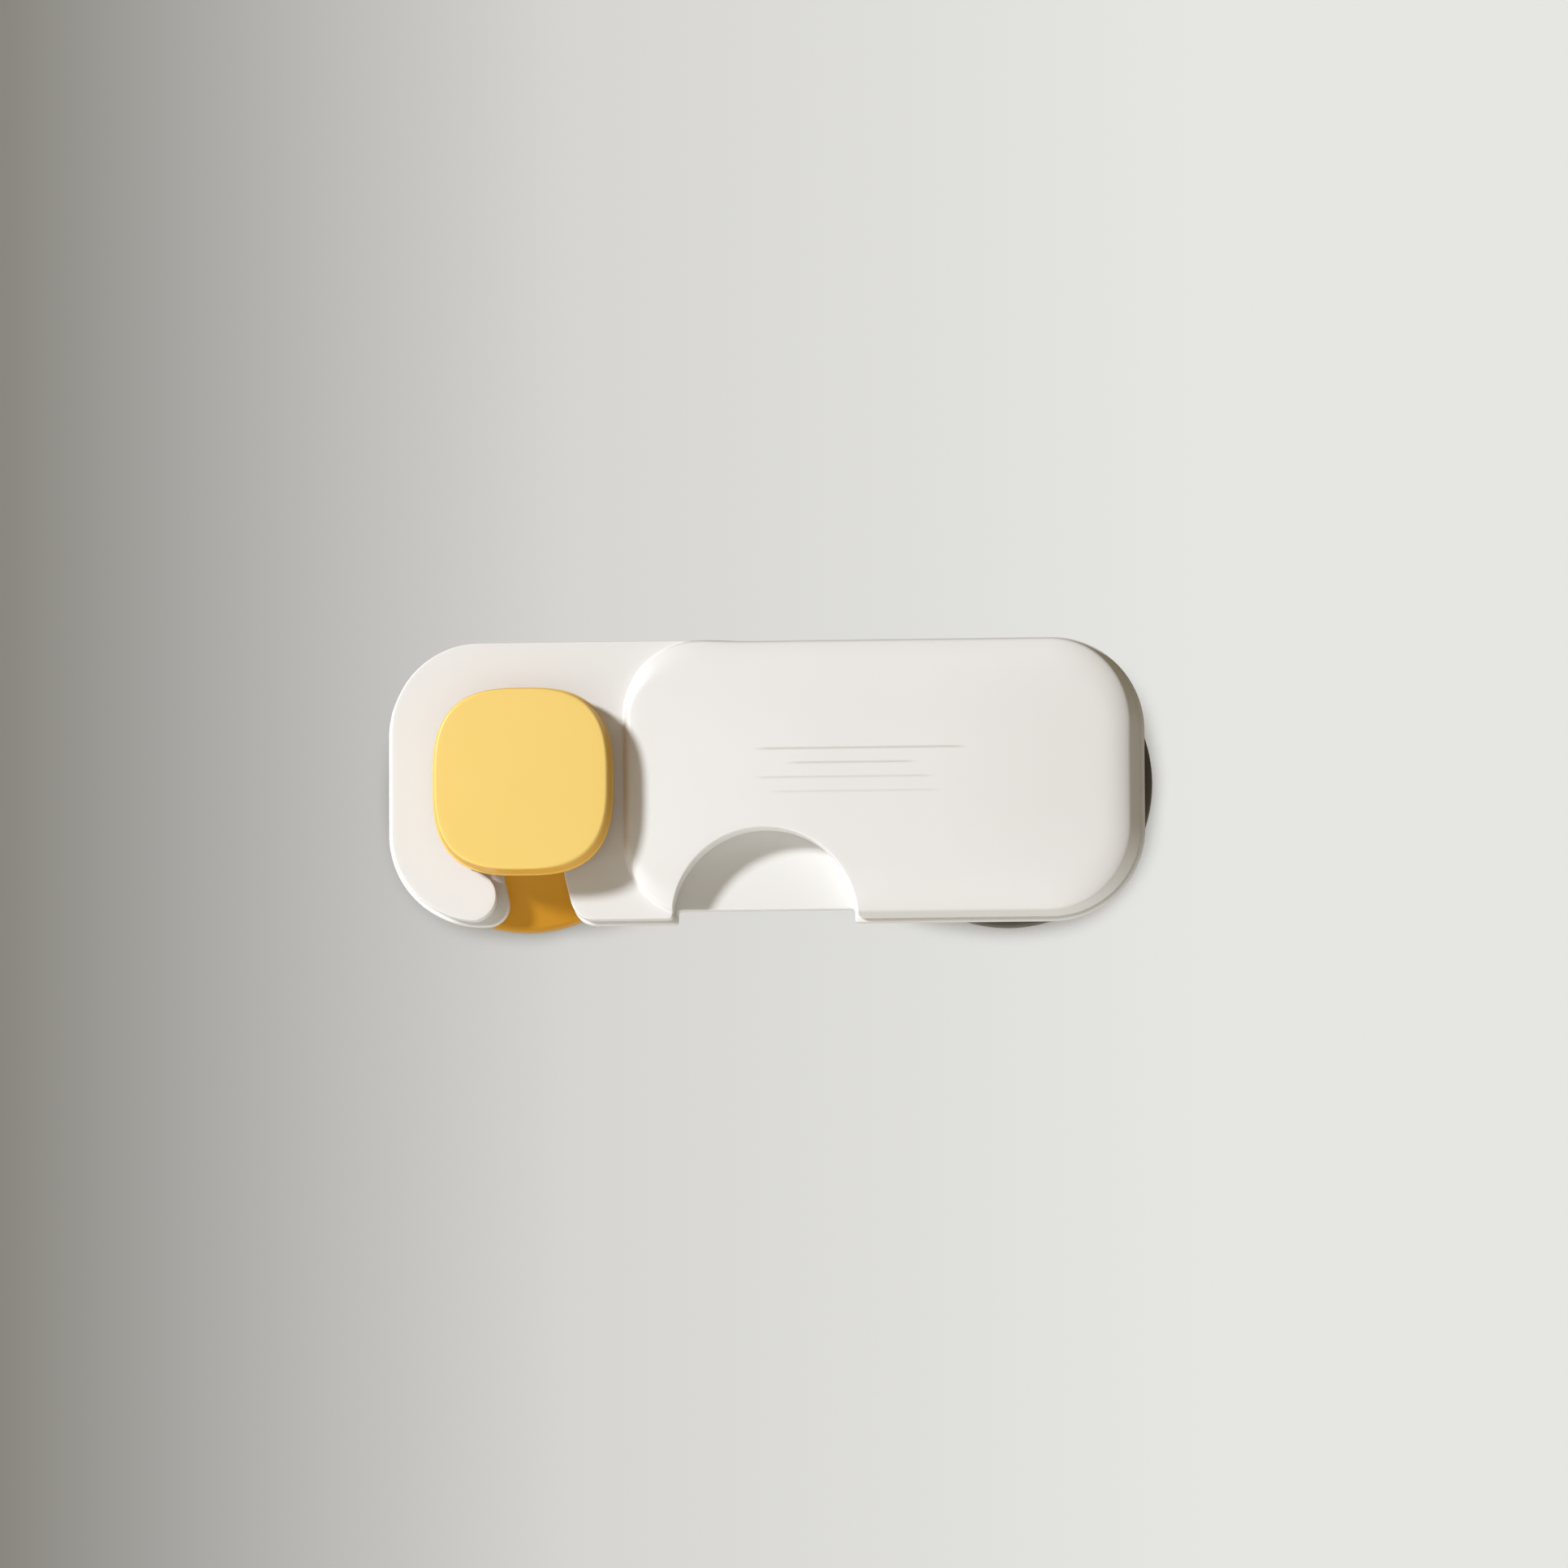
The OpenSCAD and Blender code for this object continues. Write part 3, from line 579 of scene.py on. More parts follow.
# Four shallow grooves across the face of the raised body
grooveSpec = {
    "spans": ((-16.9, 17.5), (-11.8, 9.9), (-16.9, 12.5), (-14.6, 13.4)),
    "depths": (0.1, 0.085, 0.06, 0.045),
    "width": 0.36,
    "fade": 3.0,    # run of each end
    "pitch": 2.25,
    "rise": 0.95,   # of their middle above the arm's
    "along": 0.46,  # share of the body's length
}
grooveX = footX + (cover["right"] - footX) * grooveSpec["along"]
grooveYs = [midY + grooveSpec["rise"] + (1.5 - i) * grooveSpec["pitch"] for i in range(4)]


# How deep in a groove each point lies: a bell across the groove, faded out towards its ends
def grooveDepth(x, y):
    total = np.zeros_like(x)
    for y0, (start, end), depth in zip(grooveYs, grooveSpec["spans"], grooveSpec["depths"]):
        ends = smoothstep(0, grooveSpec["fade"], np.minimum(x - grooveX - start, end - x + grooveX))
        total += depth * np.exp(-((y - y0) / (grooveSpec["width"] / 2)) ** 2) * ends
    return total


# Outline of the cover, anticlockwise: hook tip, pocket round the post, slot, recess, corners
def coverPath():
    s = coverSpec
    r, rm = arm["cornerRadius"] - lip, arm["mouthRadius"]
    left, right, low, high = cover["left"], cover["right"], cover["low"], cover["high"]
    heel = mouthCentre(low, -1)
    p, pr = s["pocketHalf"], s["pocketRadius"]
    x0, x1 = buttonX - p + pr, buttonX + p - pr
    y0, y1 = fingerTop + pr, p - pr
    above = 180 + math.degrees(math.acos((x0 - fingerX) / pr))
    lastCorner = arc((x1, y0), pr, 0, meeting((x1, y0), pr, (0, 0), slotIn) - 360)
    recess = (midX, plate["low"])
    start = math.degrees(math.asin((low - plate["low"]) / arm["recessRadius"]))
    return np.vstack([
        arc((left + r, low + r), r, 180, 264),
        arc((fingerX, fingerY), fingerR, -86, 90),
        arc((x0, y0), pr, above, 180),
        arc((x0, y1), pr, 180, 90),
        arc((x1, y1), pr, 90, 0),
        lastCorner,
        arc((0, 0), slotIn, turnOf(lastCorner[-1]), turnOf(heel)),
        arc(heel, rm, turnOf(heel), 270),
        arc(recess, arm["recessRadius"], 180 - start, start, 80),
        arc((right - r, low + r), r, 270, 360),
        arc((right - r, high - r), r, 0, 90),
        arc((left + r, high - r), r, 90, 180),
    ])


# How far inside the raised body's outline each point lies, how much its nearest side faces along x, and how
# far it lies from the ends and from the long sides
def bodyDepth(x, y):
    cx, cy = (footX + cover["right"]) / 2, midY
    hx, hy = (cover["right"] - footX) / 2, (cover["high"] - cover["low"]) / 2
    r = np.where(x < cx, bodySpec["footRadius"], arm["cornerRadius"] - lip)
    qx, qy = np.abs(x - cx) - hx + r, np.abs(y - cy) - hy + r
    both = np.hypot(np.maximum(qx, 0), np.maximum(qy, 0))
    depth = r - both - np.minimum(np.maximum(qx, qy), 0)
    sideways = np.where(both > 1e-6, np.maximum(qx, 0) / np.maximum(both, 1e-6), qx > qy)
    return depth, sideways ** 2, hx - np.abs(x - cx), hy - np.abs(y - cy)


crownRise = cover["front"] - flatTop - bodySpec["level"]


# A size of the body's edge round its outline: the side's own, turning into the foot's or the end's as the
# outline turns along x
def edgeSize(key, x, y, sideways):
    s = bodySpec
    run = np.where(x < (footX + cover["right"]) / 2, s["foot"][key], s["end"][key])
    side = np.where(y > midY, s["topRun"], s["side"][key]) if key == "run" else s["side"][key]
    return side + (run - side) * sideways


# Height of the cover's front: flat hook, then the raised body (straight wall and parabolic roll over the
# depth p inside its outline, and a crown that is a product of two parabolas), less the grooves and the
# rounded rims; toEdge and toRim are the distances to the body's own edge and to the other edges
def coverHeight(x, y, toEdge, toRim):
    s = bodySpec
    depth, sideways, fromEnd, fromSide = bodyDepth(x, y)
    p = np.minimum(depth, toEdge)
    run, rise, rollRun = (edgeSize(key, x, y, sideways) for key in ("run", "rise", "rollRun"))
    tangent = footX + s["footRadius"]
    base = -s["drop"] * smoothstep(tangent, tangent + s["dropRun"], x)
    past = p - run
    onRoll = (past + np.sqrt(past ** 2 + s["edgeSoft"] ** 2)) / 2
    h = rise + (rise - base) / run * (past - onRoll)
    h += (s["level"] - rise) * (1 - (1 - np.clip(onRoll / rollRun, 0, 1)) ** 2)
    h = np.maximum(h, np.where(x < tangent, 0, base))
    along, across = (1 - (1 - np.clip(d / r, 0, 1)) ** 2
                     for d, r in zip((fromEnd, fromSide), s["crownRun"]))
    h += crownRise * along * across * smoothstep(0, s["crownFrom"], p)
    h -= grooveDepth(x, y)
    r = coverSpec["rim"]
    h -= r - np.sqrt(r ** 2 - (r - np.clip(toRim, 0, r)) ** 2)
    return flatTop + h


# Points of the front: rows along the body's edge, the other rims and the foot, and an even field elsewhere,
# closer along the grooves; a point that is too near another edge is left out
def frontPoints(path, onEdge, edgeSeg):
    s, rim = frontSpec, coverSpec["rim"]
    footRoom, fieldRoom = (rim + room for room in s["rimRoom"])
    nextPath = np.roll(path, -1, axis=0)
    side = inward(path)
    wall = edgeSize("run", path[:, 0], path[:, 1], bodyDepth(*path.T)[1])
    bend = rim * (1 - np.cos(np.radians(s["rimBend"])))
    steps = [(onEdge, share * wall) for share in s["edgeShares"]]
    steps += [(onEdge, wall + more) for more in s["edgeRows"]]
    steps += [(~onEdge, np.full(len(path), inset)) for inset in bend]
    rows = []
    for mask, inset in steps:
        row = (path + inset[:, None] * side)[mask]
        rows.append(row[distanceTo(row, path, nextPath) > s["snug"] * inset[mask] - 1e-4])
    # the foot: a quarter circle, a straight and a quarter circle for each row
    radius = bodySpec["footRadius"]
    tangent, yTop, yLow = footX + radius, cover["high"] - radius, cover["low"] + radius
    straight = np.linspace(yTop, yLow, 50)[1:-1]
    foot = []
    for d in s["footRows"]:
        count = int(60 * (radius - d) / radius)
        foot += [arc((tangent, yTop), radius - d, 90, 180, count),
                 np.column_stack([np.full(len(straight), footX + d), straight]),
                 arc((tangent, yLow), radius - d, 180, 270, count)]
    foot = np.vstack(foot)
    foot = foot[(distanceTo(foot, path, nextPath) > footRoom) & insideLoops(foot, [path])]
    # the field, every second row set over by half a step
    gx = np.arange(cover["left"], cover["right"], s["grid"])
    gy = np.arange(cover["low"], cover["high"], s["grid"])
    field = np.stack(np.meshgrid(gx, gy), axis=2)
    field[1::2, :, 0] += s["grid"] / 2
    field = field.reshape(-1, 2)
    x, y = field.T
    depth = bodyDepth(x, y)[0]
    reach = np.abs(grooveSpec["spans"]).max() + 1
    inGroove = (np.abs(x - grooveX) < reach) & (np.abs(y - np.mean(grooveYs)) < 2 * grooveSpec["pitch"])
    nearFoot = (x < tangent + 1) & (depth > s["footBand"][0]) & (depth < s["footBand"][1])
    nearBody = (x >= tangent + 1) & (depth < s["edgeBand"])
    half, count = s["grooveAcross"]
    lines = (np.array(grooveYs)[:, None] + np.linspace(-half, half, count)).ravel()
    along = np.arange(grooveX - reach, grooveX + reach + s["grooveStep"] / 2, s["grooveStep"])
    extra = np.stack(np.meshgrid(along, lines), axis=2).reshape(-1, 2)
    field = np.vstack([field[~inGroove & ~nearFoot & ~nearBody], extra])
    field = field[insideLoops(field, [path])]
    field = field[distanceTo(field, path, nextPath) > fieldRoom]
    clear = distanceTo(field, path[edgeSeg], nextPath[edgeSeg]) > s["edgeBand"]
    return np.vstack(rows + [foot, field[clear]]), field


# Outline of the hollow, inside the walls, with the recess's wall left standing
def hollowPath():
    w = coverSpec["wall"]
    around, mid = arm["recessRadius"] + w, (midX, plate["low"])
    rl, rr = bodySpec["footRadius"] - w, arm["cornerRadius"] - lip - w
    left, right, low, high = footX + w, cover["right"] - w, cover["low"] + w, cover["high"] - w
    end = math.degrees(math.asin((low - mid[1]) / around))
    corner = arc((left + rl, low + rl), rl, 180, meeting((left + rl, low + rl), rl, mid, around))
    path = np.vstack([
        corner,
        arc(mid, around, turnOf(corner[-1] - np.array(mid)), end, 80),
        arc((right - rr, low + rr), rr, 270, 360),
        arc((right - rr, high - rr), rr, 0, 90),
        arc((left + rl, high - rl), rl, 90, 180),
    ])
    step = coverSpec["hollowStep"]
    return softened(evenly(path, step), step, step)


# A boss in the hollow: a tube round its screw, pushed out of the recess where it would stand in it
def boss(spot):
    outer, bore = coverSpec["bossRadius"], arm["screwBore"]
    under, over = coverSpec["bossRoom"]
    low, high = cover["back"] + under, cover["front"] - coverSpec["wall"] - over
    rows = turned(spot, [(outer, low), (outer, high), (bore, high), (bore, low), (outer, low)], 48)
    off = rows[:, :, :2] - np.array((midX, plate["low"]))
    away = np.linalg.norm(off, axis=2, keepdims=True)
    rows[:, :, :2] += off / away * np.maximum(arm["recessRadius"] + coverSpec["wall"] / 2 - away, 0)
    return strip(rows)


def armCover():
    s = coverSpec
    zLow = cover["back"]
    path = softened(evenly(coverPath(), s["step"]), s["corner"], s["step"])
    nextPath = np.roll(path, -1, axis=0)
    fromRecess = np.hypot(path[:, 0] - midX, path[:, 1] - plate["low"]) - arm["recessRadius"]
    onEdge = (path[:, 0] > footX + bodySpec["footRadius"]) & (fromRecess >= frontSpec["onRecess"])
    onEdge &= np.abs(bodyDepth(*path.T)[0]) < frontSpec["onEdge"]
    edgeSeg = onEdge & np.roll(onEdge, -1)
    inner, field = frontPoints(path, onEdge, edgeSeg)
    points, faces = filled([path], inner)
    toEdge, toRim = (distanceTo(points, path[seg], nextPath[seg]) for seg in (edgeSeg, ~edgeSeg))
    toEdge[:len(path)][onEdge] = 0
    toRim[:len(path)][~onEdge] = 0
    z = coverHeight(points[:, 0], points[:, 1], toEdge, toRim)
    print("   cover front", len(points), "points")
    surfaces = [(np.column_stack([points, z]), faces)]
    # outer wall from the seam up to the front's edge
    top = np.column_stack([path, z[:len(path)]])
    seam = s["seam"]
    low = carried(path, [(seam, zLow), (0.3 * seam, zLow + 0.3 * seam), (0, zLow + seam)])
    surfaces.append(strip(np.concatenate([low, top[None]])))
    # the hollow's ceiling, a wall's thickness under the front, and its sides
    hollow = hollowPath()
    inside = field[::3]
    inside = inside[insideLoops(inside, [hollow])]
    inside = inside[distanceTo(inside, hollow, np.roll(hollow, -1, axis=0)) > s["hollowStep"]]
    ceiling, ceilingFaces = filled([hollow], inside)
    far = np.full(len(ceiling), 99.0)
    ceilingZ = coverHeight(ceiling[:, 0], ceiling[:, 1], far, far) - s["wall"]
    surfaces.append((np.column_stack([ceiling, ceilingZ]), ceilingFaces[:, ::-1]))
    top = np.column_stack([hollow, ceilingZ[:len(hollow)]])
    foot = np.column_stack([hollow, np.full(len(hollow), zLow)])
    surfaces.append(strip(np.stack([top, foot])))
    # blind bores for the hook's two screws, and four bosses in the hollow
    holes = []
    for spot in spots[:2]:
        bore = turned(spot, [(arm["screwBore"], zLow + s["hookBoreDepth"]), (arm["screwBore"], zLow)], 40)
        surfaces += [strip(bore), fan(bore[0], zLow + s["hookBoreDepth"], True)]
        holes.append(bore[-1, :, :2])
    surfaces.append(flatCap([low[0, :, :2], hollow] + holes, zLow, True))
    surfaces += [boss(spot) for spot in spots[2:]]
    piece = makePiece("armCover", surfaces, 50)
    # painted shade for the grooves: each point's groove depth, as a share of the deepest, goes into an
    # attribute
    places = np.empty(3 * len(piece.data.vertices))
    piece.data.vertices.foreach_get("co", places)
    x, y = places.reshape(-1, 3)[:, ::2].T / mm
    dust = piece.data.attributes.new("dust", "FLOAT", "POINT")
    dust.data.foreach_set("value", grooveDepth(x, y) / max(grooveSpec["depths"]))
    return piece


stands(armCover(), "arm_cover", finishes["white_plastic"])
print("cover done")


# The push button's cap

capSpec = {
    "power": 2.9,
    "points": 240,
    "draft": 0.5,
    "edge": 0.5,       # rounding of the face's edge
    "rimRound": 0.25,
    "flange": 0.22,    # how far the rim stands out from the wall
    "flangeTall": 0.9,
    "flangeRise": 0.15,  # of the small hollow above it
    "wall": 1.6,
    "crown": 0.22,     # doming of the face
    "socketIn": 4.55,
    "socketOut": 5.8,
    "headThick": 1.2,
    "ceilingRun": 6.0,
    "inRound": 0.6,    # rounding between the wall and the ceiling
    "faceRows": 26,
}


# Outline of the cap at an inset: a superellipse, |x/a|^n + |y/b|^n = 1
def capRing(inset, z):
    a = np.linspace(0, 2 * math.pi, capSpec["points"], endpoint=False)
    c, s = np.cos(a), np.sin(a)
    w, h = (cap["right"] - cap["left"]) / 2 - inset, (cap["high"] - cap["low"]) / 2 - inset
    power = 2 / capSpec["power"]
    return np.column_stack([buttonX + w * np.sign(c) * np.abs(c) ** power,
                            h * np.sign(s) * np.abs(s) ** power, np.full(len(a), z)])


def buttonCap():
    s = capSpec
    rim, top = cap["back"], cap["front"]
    ceiling = top - s["wall"]
    inner = s["wall"] + s["draft"]
    half = (cap["right"] - cap["left"]) / 2
    r, soft = s["inRound"], s["rimRound"]
    # from the ceiling's middle down the inside, round the rim, up the outside and over to the face
    profile = [(inner + s["ceilingRun"], ceiling), (inner + r, ceiling), (inner + r / 4, ceiling - r / 4),
               (inner, ceiling - r), (inner - 0.2, rim + 0.25), (inner - 0.35, rim),
               (soft, rim), (0.3 * soft, rim + 0.3 * soft), (0, rim + soft)]
    wallTop = top - s["crown"] - s["edge"]
    shelf, f, rise = rim + s["flangeTall"], s["flange"], s["flangeRise"]
    profile += [(0, shelf - 0.2), (0.05, shelf - 0.06), (0.12, shelf), (f - 0.04, shelf + 0.03),
                (f, shelf + rise)]
    profile += [(f + (s["draft"] - f) * t, shelf + rise + (wallTop - shelf - rise) * t)
                for t in (0.25, 0.5, 0.75, 0.95)]
    profile += [(s["draft"] + s["edge"] * (1 - math.cos(a)), wallTop + s["edge"] * math.sin(a))
                for a in np.radians(np.arange(0, 91, 10))]
    flat = s["draft"] + s["edge"]
    face = np.linspace(flat, half - 0.6, s["faceRows"])[1:]
    share = (face - flat) / (half - flat)
    profile += list(zip(face, top - s["crown"] * (1 - share) ** 2))
    rows = np.stack([capRing(inset, z) for inset, z in profile])
    surfaces = [strip(rows), fan(rows[0], ceiling, True), fan(rows[-1], top)]
    # socket that takes the plunger's head
    low, high = ceiling - s["headThick"], ceiling + 0.3
    ring = [(s["socketOut"], low), (s["socketOut"], high), (s["socketIn"], high), (s["socketIn"], low),
            (s["socketOut"], low)]
    surfaces.append(strip(turned((buttonX, 0), ring)))
    return makePiece("buttonCap", surfaces)


stands(buttonCap(), "button_cap", finishes["yellow_plastic"])
print("cap done")


# The two foam pads: discs whose cut edge swells a little under the base
padSpec = {"swell": 0.12, "rows": 9}


def foamPad(node):
    b = faceBox(node)
    centre = ((b["left"] + b["right"]) / 2, (b["low"] + b["high"]) / 2)
    r = (b["right"] - b["left"]) / 2
    t = np.linspace(0, 1, padSpec["rows"])
    z = b["back"] + (b["front"] - b["back"]) * t
    edge = np.column_stack([r - padSpec["swell"] * (1 - np.sin(math.pi * t)), z])
    rows = turned(centre, edge, 160)
    piece = makePiece(node.replace("_pad", "FoamPad"),
                      [strip(rows), fan(rows[0], b["back"], True), fan(rows[-1], b["front"])])
    stands(piece, node, finishes["adhesive_foam"])


for node in ("catch_pad", "pivot_pad"):
    foamPad(node)
print("pads done")


# The return spring: a round wire carried along a helix, one turn of wire points per station
coilSpec = {"turns": 3.5, "wire": 0.2, "around": 14, "perTurn": 48, "pressed": 0.5}


def returnSpring():
    s = coilSpec
    r = (coil["right"] - coil["left"]) / 2 - s["wire"]
    count = int(s["turns"] * s["perTurn"]) + 1
    turn = np.linspace(0, 2 * math.pi * s["turns"], count)[:, None]
    climb = np.linspace(coil["back"] + s["wire"], coil["front"] - s["wire"], count)[:, None]
    a = np.linspace(0, 2 * math.pi, s["around"], endpoint=False)[None]
    out = r + s["wire"] * np.cos(a)
    rows = np.stack([buttonX + out * np.cos(turn), out * np.sin(turn), climb + s["wire"] * np.sin(a)],
                    axis=2)
    piece = makePiece("returnSpring", [strip(rows), fan(rows[0], rows[0, :, 2].mean()),
                                       fan(rows[-1], rows[-1, :, 2].mean(), True)])
    stands(piece, "button_spring", finishes["spring_steel"])
    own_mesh(piece)


returnSpring()
print("return spring done")


# The latch: a steel leaf carried along its path, wide at the anchor and bent up into a tooth whose upper
# corner is a ramp; in the lock its free end bends with the button, but here it keeps its resting shape
leafSpec = {"thick": 0.4, "width": 4.6, "anchor": 6.0, "fillet": 1.2, "bend": 0.6, "ramp": 1.4,
            "past": 3.5}  # how far past the tooth the bending would end


def latchLeaf():
    s = leafSpec
    half, wide, r = s["width"] / 2, (leaf["high"] - leaf["low"]) / 2, s["bend"]
    z0 = leaf["back"] + s["thick"] / 2
    x1, x0 = leaf["right"], leaf["left"] + s["thick"] / 2
    shoulder = x1 - s["anchor"]
    # along the middle of the sheet: anchor, fillet, free length, bend, tooth
    a = np.radians(np.linspace(0, 90, 9))
    tooth = np.linspace(z0 + r, leaf["front"], 9)[1:]
    x = np.concatenate([[x1, shoulder + 0.05], shoulder - s["fillet"] * np.sin(a),
                        np.linspace(shoulder - s["fillet"], x0 + r, 40)[1:],
                        x0 + r - r * np.sin(a[1:]), np.full(8, x0)])
    z = np.concatenate([np.full(50, z0), z0 + r - r * np.cos(a[1:]), tooth])
    high = np.concatenate([[wide, wide], half + s["fillet"] * (1 - np.sin(a)), np.full(55, half)])
    low = -high
    high = np.minimum(high, half + np.maximum(leaf["front"] - s["ramp"] - z, -s["ramp"])
                      + wide * (z < tooth[0]))
    dx, dz = np.gradient(x), np.gradient(z)
    tilt = np.stack([dz, -dx]) / np.hypot(dx, dz)
    t = s["thick"] / 2
    corners = [(low, -t), (high, -t), (high, t), (low, t)]
    rows = np.stack([np.stack([x + d * tilt[0], y, z + d * tilt[1]], axis=1)
                     for y, d in corners], axis=1)
    ends = [(rows[0], np.array([[0, 1, 2, 3]])), (rows[-1], np.array([[3, 2, 1, 0]]))]
    piece = makePiece("latchLeaf", [strip(rows)] + ends, 30)
    stands(piece, "latch_spring", finishes["spring_steel"], False)
    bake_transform(piece)


latchLeaf()
print("latch leaf done")


# The other pieces keep the shape of their nodes: welded copies with smooth round faces
for node in ("catch_base", "pivot_base", "latch_screws", "button_plunger", "button_pin", "glide_ring",
             "pivot_insert", "wave_washer", "pivot_washer", "pivot_screw", "cover_screws"):
    mesh = frame["nodes"][node].data.copy()
    mesh.name = "".join(word.capitalize() if i else word for i, word in enumerate(node.split("_")))
    copy = bpy.data.objects.new(mesh.name, mesh)
    bpy.context.scene.collection.objects.link(copy)
    weld(mesh, 1e-6)
    smooth(mesh, 30)
    stands(copy, node, finishes[slotOf[node]])
print("inner pieces done")


# Stage: a pale wall in the plane of the adhesive faces that shines with painted light, darker towards the
# left, with painted shade close below the part, seen from the front alone, and a pale floor far below
stageSpec = {
    "wallBehind": 0.0004,
    "wallHalf": 1.2,
    "floorDrop": 0.32,
    "floorHalf": 1.5,
    "floor": "#E4E3DF",
    "paintedLightTones": ((-0.158, "#8A8780"), (-0.107, "#BBBAB7"), (-0.069, "#D6D5D1"), (0.03, "#E6E6E3")),  # painted light, falling off along x to the darkest at the left
    "shade": "#98968F",
    "shadeReach": 0.007,
    "shadeRange": (0.45, 0.72),   # shares of open sky, from full shade to none
    "shadeHigh": (0.008, 0.02),   # the shade fades out above this
}


def plane(name, corners):
    mesh = bpy.data.meshes.new(name)
    mesh.from_pydata(corners, [], [(0, 1, 2, 3)])
    piece = bpy.data.objects.new(name, mesh)
    bpy.context.scene.collection.objects.link(piece)
    return piece


def stage():
    s = stageSpec
    material, tree, shader, place = newFinish("lit wall", {
        "Base Color": (0, 0, 0, 1), "Specular IOR Level": 0.0, "Emission Strength": 1.0})
    material.cycles.emission_sampling = "NONE"
    axes = addNode(tree, "ShaderNodeSeparateXYZ", None, {0: place})
    first, last = s["paintedLightTones"][0][0], s["paintedLightTones"][-1][0]
    # painted light: the wall's tone falls off along x towards the left
    across = addNode(tree, "ShaderNodeMapRange", {"From Min": first, "From Max": last},
                     {"Value": axes.outputs[0]})
    ramp = addNode(tree, "ShaderNodeValToRGB", None, {0: across.outputs[0]})
    stops = ramp.color_ramp.elements
    for x, tone in s["paintedLightTones"][1:-1]:
        stops.new((x - first) / (last - first))
    for stop, (x, tone) in zip(stops, s["paintedLightTones"]):
        stop.color = linear(tone)
    near = addNode(tree, "ShaderNodeAmbientOcclusion", {"samples": 12, "Distance": s["shadeReach"]})
    limits = ("From Min", "From Max")
    free = addNode(tree, "ShaderNodeMapRange", dict(zip(limits, s["shadeRange"])),
                   {"Value": near.outputs["AO"]})
    high = addNode(tree, "ShaderNodeMapRange", dict(zip(limits, s["shadeHigh"])), {"Value": axes.outputs[2]})
    lit = addNode(tree, "ShaderNodeMath", {"operation": "MAXIMUM"}, {0: free.outputs[0], 1: high.outputs[0]})
    tone = addNode(tree, "ShaderNodeMix", {"data_type": "RGBA", 6: linear(s["shade"])},
                   {0: lit.outputs[0], 7: ramp.outputs[0]})
    tree.links.new(tone.outputs[2], shader.inputs["Emission Color"])
    behind = addNode(tree, "ShaderNodeNewGeometry").outputs["Backfacing"]
    clear = addNode(tree, "ShaderNodeBsdfTransparent")
    both = addNode(tree, "ShaderNodeMixShader", None, {0: behind, 1: shader.outputs[0], 2: clear.outputs[0]})
    tree.links.new(both.outputs[0], tree.nodes["Material Output"].inputs["Surface"])
    w, y, z = s["wallHalf"], s["wallBehind"], -s["floorDrop"]
    wall = plane("wall", [(-w, y, z), (w, y, z), (w, y, w), (-w, y, w)])
    wall.data.materials.append(material)
    wall.visible_diffuse = wall.visible_glossy = wall.visible_shadow = False
    f = s["floorHalf"]
    floor = plane("floor", [(-f, -f, z), (f, -f, z), (f, f, z), (-f, f, z)])
    paint = newFinish("matt floor paint", {"Roughness": 0.9, "Base Color": linear(s["floor"])})[0]
    floor.data.materials.append(paint)


stage()


# Light: a soft box high at the front left, a fill from below, another from behind, and an even pale surround
lightSpec = {
    "towards": (-9.6, -9.0, 4.7), "distance": 3.6, "size": 0.55, "power": 146.0, "tone": "#F8FAFF",
    "fillFrom": (0.05, -0.06, -1.0), "fillPower": 1.15,
    "backFrom": (0.0, 1.0, 0.0), "backPower": 2.2, "backSpread": 0.6,
    "surround": "#FFEBC4", "surroundPower": 0.22,
}


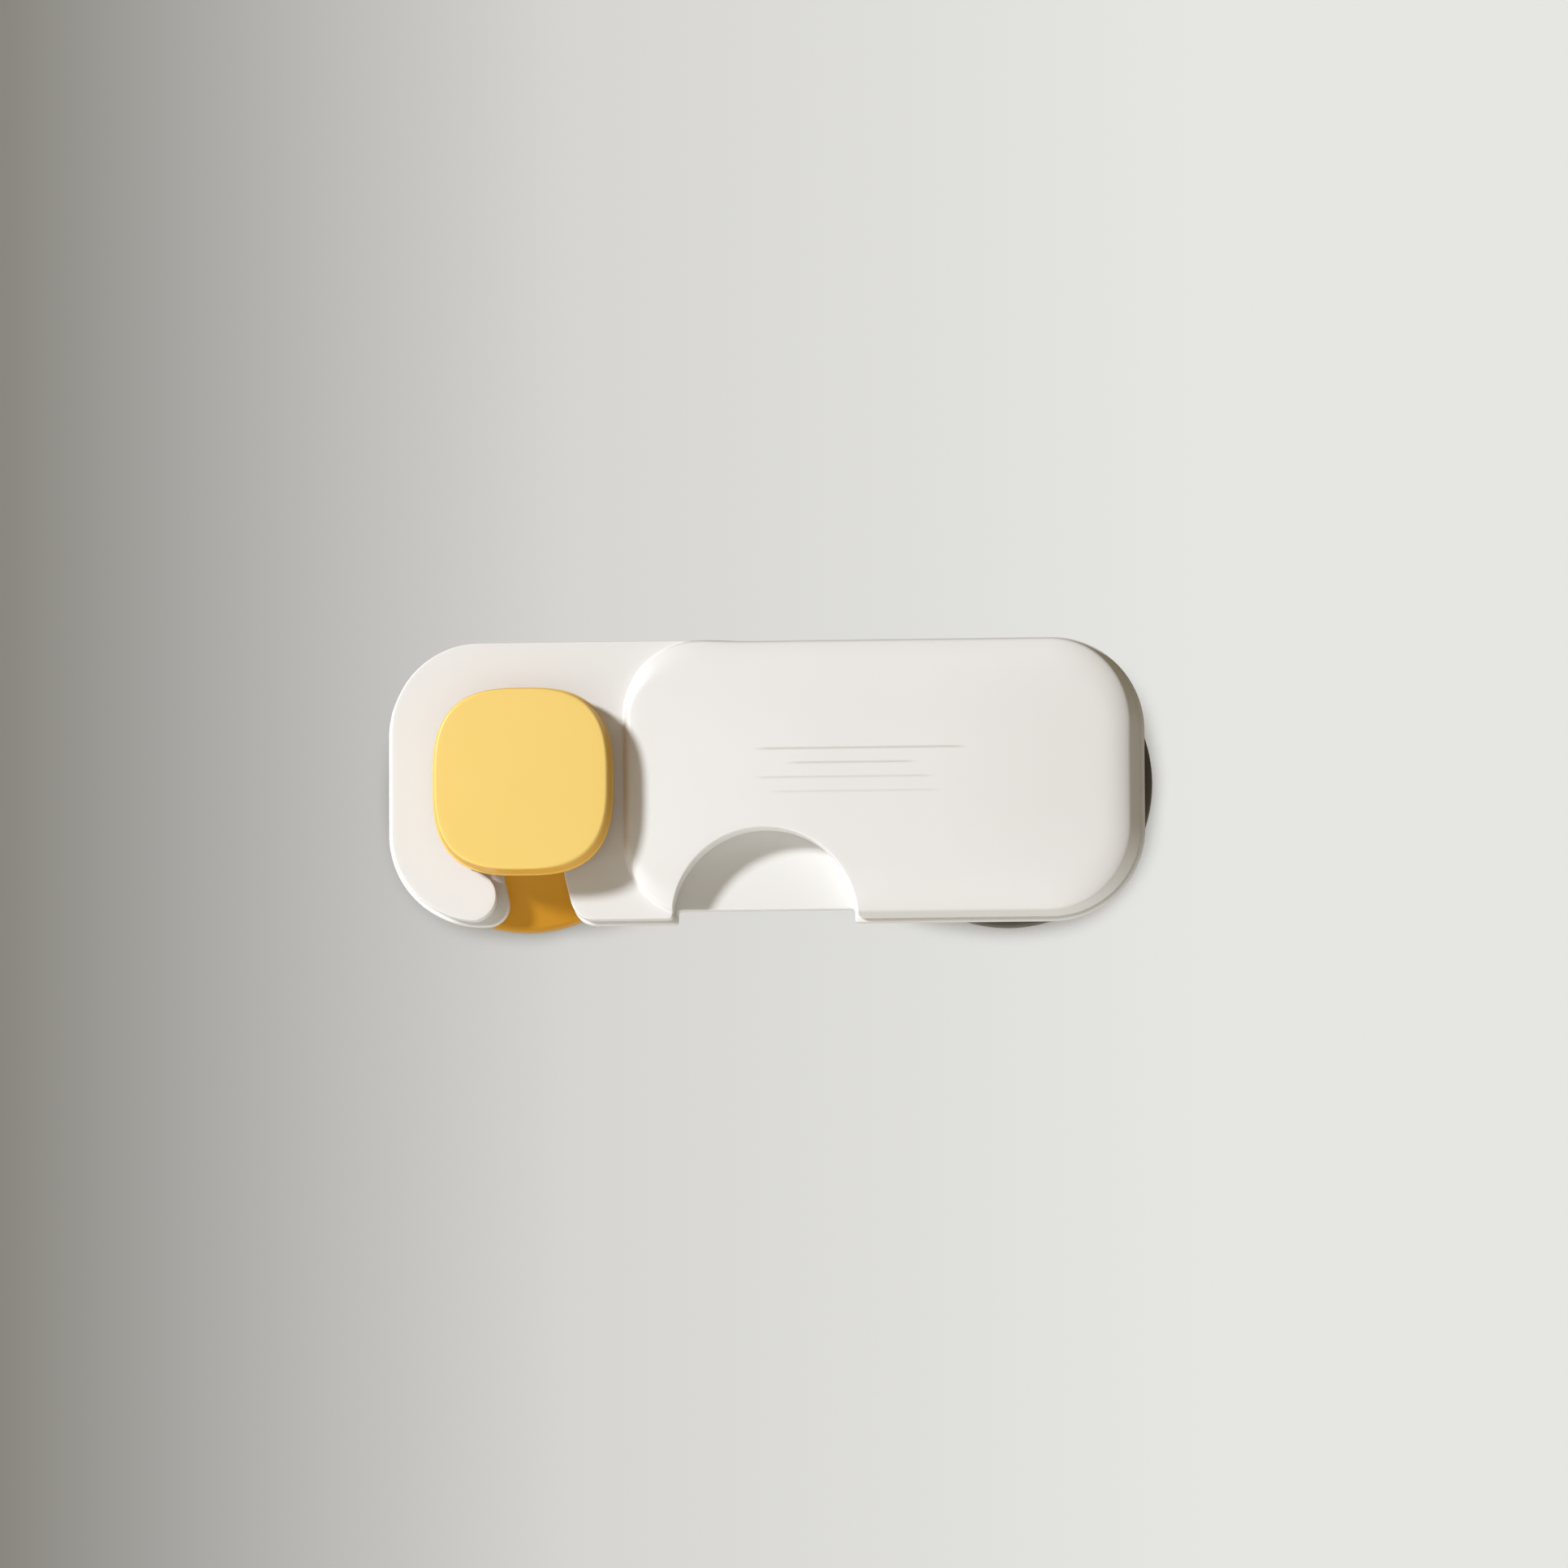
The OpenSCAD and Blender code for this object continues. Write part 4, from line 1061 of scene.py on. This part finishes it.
def lamp(name, kind, towards, distance, settings):
    way = Vector(towards).normalized()
    data = bpy.data.lights.new(name, kind)
    for key, value in settings.items():
        setattr(data, key, value)
    piece = bpy.data.objects.new(name, data)
    piece.location = Vector((midX * mm, 0, 0)) + way * distance
    piece.rotation_euler = way.to_track_quat("Z", "Y").to_euler()
    bpy.context.scene.collection.objects.link(piece)
    return piece


def light():
    s = lightSpec
    away = s["distance"]
    lamp("softBox", "AREA", s["towards"], away, {
        "shape": "DISK", "size": s["size"], "energy": s["power"], "color": linear(s["tone"])[:3]})
    fill = lamp("lowFill", "SUN", s["fillFrom"], away, {"energy": s["fillPower"], "use_shadow": False})
    back = lamp("backFill", "SUN", s["backFrom"], away, {"energy": s["backPower"], "angle": s["backSpread"]})
    fill.visible_glossy = back.visible_glossy = False
    world = bpy.data.worlds.new("surround")
    world.use_nodes = True
    sky = world.node_tree.nodes["Background"]
    sky.inputs["Color"].default_value = linear(s["surround"])
    sky.inputs["Strength"].default_value = s["surroundPower"]
    bpy.context.scene.world = world


light()


# Camera: a long lens a little to the right of the front and below it; the frame is 1932 pixels wide
cameraSpec = {
    "azimuth": 3.58, "below": 6.45, "roll": 0.3, "distance": 2.0, "sensor": 36.0,
    "framePixels": 1932, "pixelsPerMm": 7.877, "aimAt": (947.5, 971.4),
}


def camera():
    s = cameraSpec
    a, e, r = (math.radians(s[key]) for key in ("azimuth", "below", "roll"))
    right = Vector((math.cos(a), math.sin(a), 0))
    toward = Vector((math.sin(a) * math.cos(e), -math.cos(a) * math.cos(e), -math.sin(e)))
    up = toward.cross(right)
    across = right * math.cos(r) - up * math.sin(r)
    upward = right * math.sin(r) + up * math.cos(r)
    offX, offY = ((s["framePixels"] / 2 - at) / s["pixelsPerMm"] * mm for at in s["aimAt"])
    aim = Vector((midX * mm, 0, 0)) + across * offX - upward * offY
    data = bpy.data.cameras.new("camera")
    data.sensor_width = s["sensor"]
    data.lens = s["sensor"] * s["distance"] / (s["framePixels"] / s["pixelsPerMm"] * mm)
    eye = bpy.data.objects.new("camera", data)
    turn = Matrix((across, upward, toward)).transposed().to_4x4()
    eye.matrix_world = Matrix.Translation(aim + toward * s["distance"]) @ turn
    bpy.context.scene.collection.objects.link(eye)
    bpy.context.scene.camera = eye


camera()
bpy.context.scene.view_settings.view_transform = "Standard"
print("stage, light and camera done")
